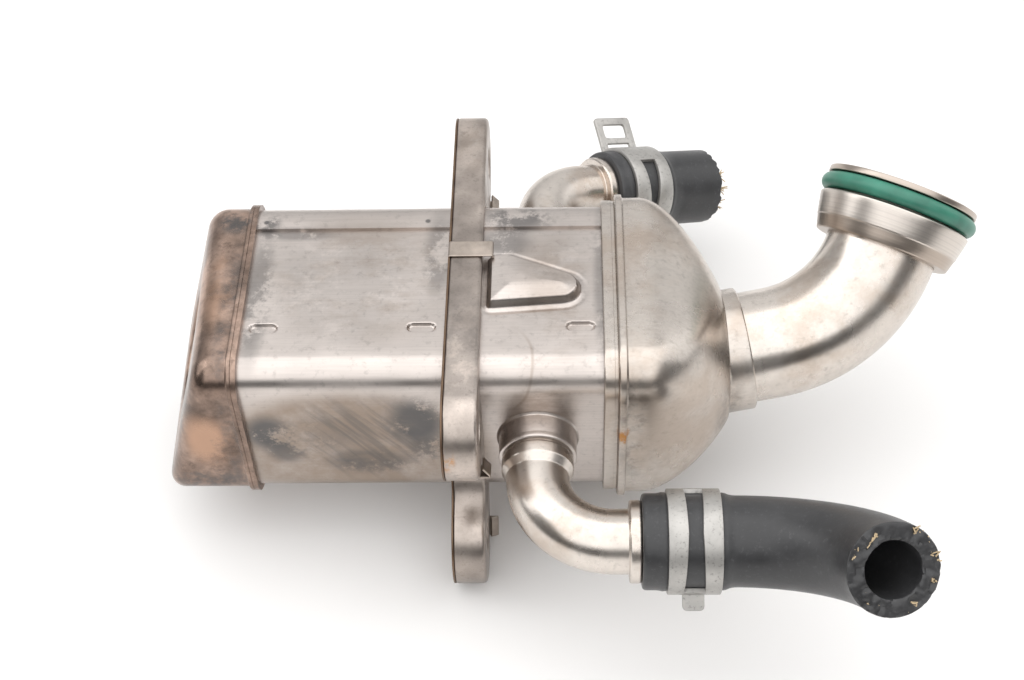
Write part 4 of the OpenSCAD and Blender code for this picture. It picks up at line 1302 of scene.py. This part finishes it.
class COOLER_OT_flange(bpy.types.Operator):
    """Make the flange plate and its gasket with clip tabs"""

    bl_idname = "cooler.flange"
    bl_label = "Flange and Gasket"

    def execute(self, context):
        s = sizes()
        plate = finish_of("flange_steel", flange_finish)
        sheet = finish_of("gasket_steel", gasket_finish)
        tab = finish_of("tab_steel", tab_finish)
        line, bolts = flange_line(s)
        line = offset_line(line, -0.02)
        hole = s["bolt_hole"] / 2.0
        holes = [box_hole(s, 0.05)] + [hole_line(p, hole) for p in bolts]
        body = make_plate(line, holes, 0.0, s["flange_thick"], 0.5, 1.1, along_axis)
        make_piece("flange", [body], plate, ["flange_plate"], 30.0)
        holes = [box_hole(s, 0.5)] + [hole_line(p, hole + 0.25) for p in bolts]
        body = make_plate(line, holes, -0.5, 0.0, 0.1, 0.1, along_axis)
        make_piece("gasket", [body], sheet, ["flange_gasket"], 30.0)
        lobe = s["lobe_radius"]
        long_fold = (3.0, 40.0)
        parts = [make_tab(s, Vector((8.0, 26.0)), 90.0, 0.8, 0.0)]
        parts.append(make_tab(s, bolts[0] - Vector((4.0, lobe)), -90.0, *long_fold))
        for bolt, degrees in ((bolts[1], 252.0), (bolts[2], -45.0)):
            a = math.radians(degrees)
            parts.append(make_tab(s, bolt + Vector((math.cos(a), math.sin(a))) * lobe, degrees, *long_fold))
        make_piece("gasket_tabs", parts, tab, [], 30.0)
        return {"FINISHED"}


class COOLER_OT_coolant(bpy.types.Operator):
    """Make the two coolant pipes"""

    bl_idname = "cooler.coolant"
    bl_label = "Coolant Pipes"

    def execute(self, context):
        s = sizes()
        pipe = finish_of("pipe_stainless", pipe_finish)
        for name, route, bead, node in (
            ("coolant_pipe_front", front_pipe_route(s), FRONT_BEAD, "front_coolant_pipe"),
            ("coolant_pipe_rear", rear_pipe_route(s), REAR_BEAD, "rear_coolant_pipe"),
        ):
            body = route.swept(pipe_line(s, route, bead), 72, 1.0)
            make_piece(name, [body], pipe, [node])
        return {"FINISHED"}


class COOLER_OT_hoses(bpy.types.Operator):
    """Make the cut hoses with their loose yarn"""

    bl_idname = "cooler.hoses"
    bl_label = "Hoses"

    def execute(self, context):
        s = sizes()
        rubber = finish_of("hose_rubber", rubber_finish)
        yarn = finish_of("hose_yarn", yarn_finish)
        front = front_hose_route(s)
        hose = make_hose(s, front, FRONT_CLAMP_AT, 0.9, 3.0)
        make_piece("hose_front", [hose], rubber, ["front_hose"])
        short = ((8, 0.3), (55, -0.4), (120, 0.3), (168, 0.5), (186, 0.6), (204, 0.5))
        longer = ((222, 0.4), (240, 0.6), (258, 0.4), (300, -0.3), (338, 0.3))
        places = [(a, 3.2, 0.2, spread) for a, spread in short]
        places += [(a, 3.4, 0.2, spread) for a, spread in longer]
        make_piece("yarn_front", make_tufts(front, places, 5), yarn, [])
        rear = rear_hose_route(s)
        hose = make_hose(s, rear, REAR_CLAMP_AT, 1.2, 8.0)
        make_piece("hose_rear", [hose], rubber, ["rear_hose"])
        places = [(20, 3.0, 0.9, 0.2), (200, 2.0, 0.6, 0.0), (290, 3.6, 0.9, 0.1)]
        places += [(320, 3.4, 0.9, 0.2), (350, 3.6, 0.9, 0.2)]
        make_piece("yarn_rear", make_tufts(rear, places, 9), yarn, [])
        return {"FINISHED"}


class COOLER_OT_clamps(bpy.types.Operator):
    """Make the spring band clamps"""

    bl_idname = "cooler.clamps"
    bl_label = "Hose Clamps"

    def execute(self, context):
        s = sizes()
        zinc = finish_of("clamp_zinc", zinc_finish)
        ways = ((0.0, 0.174, -0.985), (0.0, -0.643, 0.766), (0.0, -0.755, -0.656))
        front = make_clamp(s, front_hose_route(s), FRONT_CLAMP_AT, ways, 1, (1.15, 1.5, -0.27, 1.55))
        make_piece("clamp_front", front, zinc, ["front_hose_clamp"], 30.0)
        ways = ((-0.245, 0.862, 0.444), (0.553, -0.694, 0.46), (-0.554, 0.684, -0.474))
        rear = make_clamp(s, rear_hose_route(s), REAR_CLAMP_AT, ways, -1, (0.93, 1.28, -0.27, 1.1))
        make_piece("clamp_rear", rear, zinc, ["rear_hose_clamp"], 30.0)
        return {"FINISHED"}


def make_table(scene):
    """White table under the part."""
    z = CAD_LOW[2] - 0.0002
    wide = 3.0
    mesh = bpy.data.meshes.new("table")
    corners = [(-wide, -wide, z), (wide, -wide, z), (wide, wide, z), (-wide, wide, z)]
    mesh.from_pydata(corners, [], [[0, 1, 2, 3]])
    table = bpy.data.objects.new("table", mesh)
    scene.collection.objects.link(table)
    top = Paint("table_white", 0.0, 0.7)
    top.set_input("Base Color", top.tones(top.grain(8.0, 3.0), colours()["floor"], [(0.3, 0.99), (0.7, 1.0)]))
    mesh.materials.append(top.material)


def make_lamps(scene):
    """One large softbox overhead and a small one on each side."""
    for name, place, size, power, aim in (
        ("softbox_top", (0.02, -0.214, 0.771), (1.7, 1.7), 14.0, (0.02, 0.0, 0.0)),
        ("softbox_left", (-0.75, 0.1, 0.45), (0.4, 0.6), 1.6, (0.0, 0.0, 0.0)),
        ("softbox_right", (0.8, 0.3, 0.4), (0.7, 0.7), 1.4, (0.03, 0.0, 0.0)),
    ):
        light = bpy.data.lights.new(name, "AREA")
        light.shape = "RECTANGLE"
        light.size, light.size_y = size
        light.energy = power
        lamp = bpy.data.objects.new(name, light)
        lamp.location = place
        lamp.rotation_mode = "QUATERNION"
        lamp.rotation_quaternion = (Vector(aim) - Vector(place)).to_track_quat("-Z", "Y")
        scene.collection.objects.link(lamp)


def make_world(scene):
    """Studio walls, bright high at the back and dark in front."""
    scene.world = bpy.data.worlds.new("studio")
    scene.world.use_nodes = True
    tree = scene.world.node_tree
    way = add_node(tree, "TexCoord", {}).outputs["Generated"]
    part = add_node(tree, "VectorMath", {0: way, 1: (0.0, 0.8, 0.6)}, operation="DOT_PRODUCT")
    span = add_node(tree, "MapRange", {"Value": part.outputs["Value"], "From Min": -1.0})
    greys = add_ramp(tree, span.outputs["Result"], [(0.12, 0.05), (0.5, 0.22), (0.88, 0.55), (0.985, 0.95)])
    tree.links.new(greys, tree.nodes["Background"].inputs["Color"])


def make_camera(scene):
    """Camera fitted to the photo."""
    camera = bpy.data.cameras.new("photo_camera")
    camera.sensor_width = 36.0
    camera.lens = 58.87
    camera.clip_start = 0.01
    camera.clip_end = 20.0
    eye = bpy.data.objects.new("photo_camera", camera)
    scene.collection.objects.link(eye)
    scene.camera = eye
    turn = math.radians(2.98)
    tilt = math.radians(49.39)
    roll = math.radians(2.73)
    forward = Vector((-math.sin(turn) * math.cos(tilt), math.cos(turn) * math.cos(tilt), -math.sin(tilt)))
    level = forward.cross(Vector((0.0, 0.0, 1.0))).normalized()
    down = forward.cross(level)
    right = level * math.cos(roll) + down * math.sin(roll)
    up = level * math.sin(roll) - down * math.cos(roll)
    spin = Matrix((right, up, -forward)).transposed().to_4x4()
    eye.matrix_world = Matrix.Translation(Vector((28.3, -270.7, 317.9)) * MM) @ spin


class COOLER_OT_stage(bpy.types.Operator):
    """Make the table, the soft studio light and the camera"""

    bl_idname = "cooler.stage"
    bl_label = "Stage"

    def execute(self, context):
        make_table(context.scene)
        make_lamps(context.scene)
        make_world(context.scene)
        make_camera(context.scene)
        context.scene.view_settings.view_transform = "Standard"
        return {"FINISHED"}


class COOLER_PT_sidebar(bpy.types.Panel):
    """Sizes, colours and pieces of the cooler"""

    bl_label = "Exhaust Gas Cooler"
    bl_idname = "COOLER_PT_sidebar"
    bl_space_type = "VIEW_3D"
    bl_region_type = "UI"
    bl_category = "Cooler"

    def draw(self, context):
        column = self.layout.column()
        for group in (context.scene.cooler_sizes, context.scene.cooler_colours):
            for name in group.__annotations__:
                column.prop(group, name)
        for operator in OPERATORS:
            column.operator(operator.bl_idname)


OPERATORS = (
    COOLER_OT_inside,
    COOLER_OT_jacket,
    COOLER_OT_ends,
    COOLER_OT_gas_pipe,
    COOLER_OT_flange,
    COOLER_OT_coolant,
    COOLER_OT_hoses,
    COOLER_OT_clamps,
    COOLER_OT_stage,
)
CLASSES = (CoolerSizes, CoolerColours, *OPERATORS, COOLER_PT_sidebar)


def register():
    """Adds the classes and the scene's settings."""
    for one in CLASSES:
        bpy.utils.register_class(one)
    bpy.types.Scene.cooler_sizes = PointerProperty(type=CoolerSizes)
    bpy.types.Scene.cooler_colours = PointerProperty(type=CoolerColours)


def unregister():
    """Takes them away again."""
    del bpy.types.Scene.cooler_colours
    del bpy.types.Scene.cooler_sizes
    for one in reversed(CLASSES):
        bpy.utils.unregister_class(one)


def main():
    """Makes the pieces and the stage."""
    register()
    bpy.ops.cooler.inside()
    bpy.ops.cooler.jacket()
    bpy.ops.cooler.ends()
    bpy.ops.cooler.gas_pipe()
    bpy.ops.cooler.flange()
    bpy.ops.cooler.coolant()
    bpy.ops.cooler.hoses()
    bpy.ops.cooler.clamps()
    bpy.ops.cooler.stage()


if __name__ == "__main__":
    main()
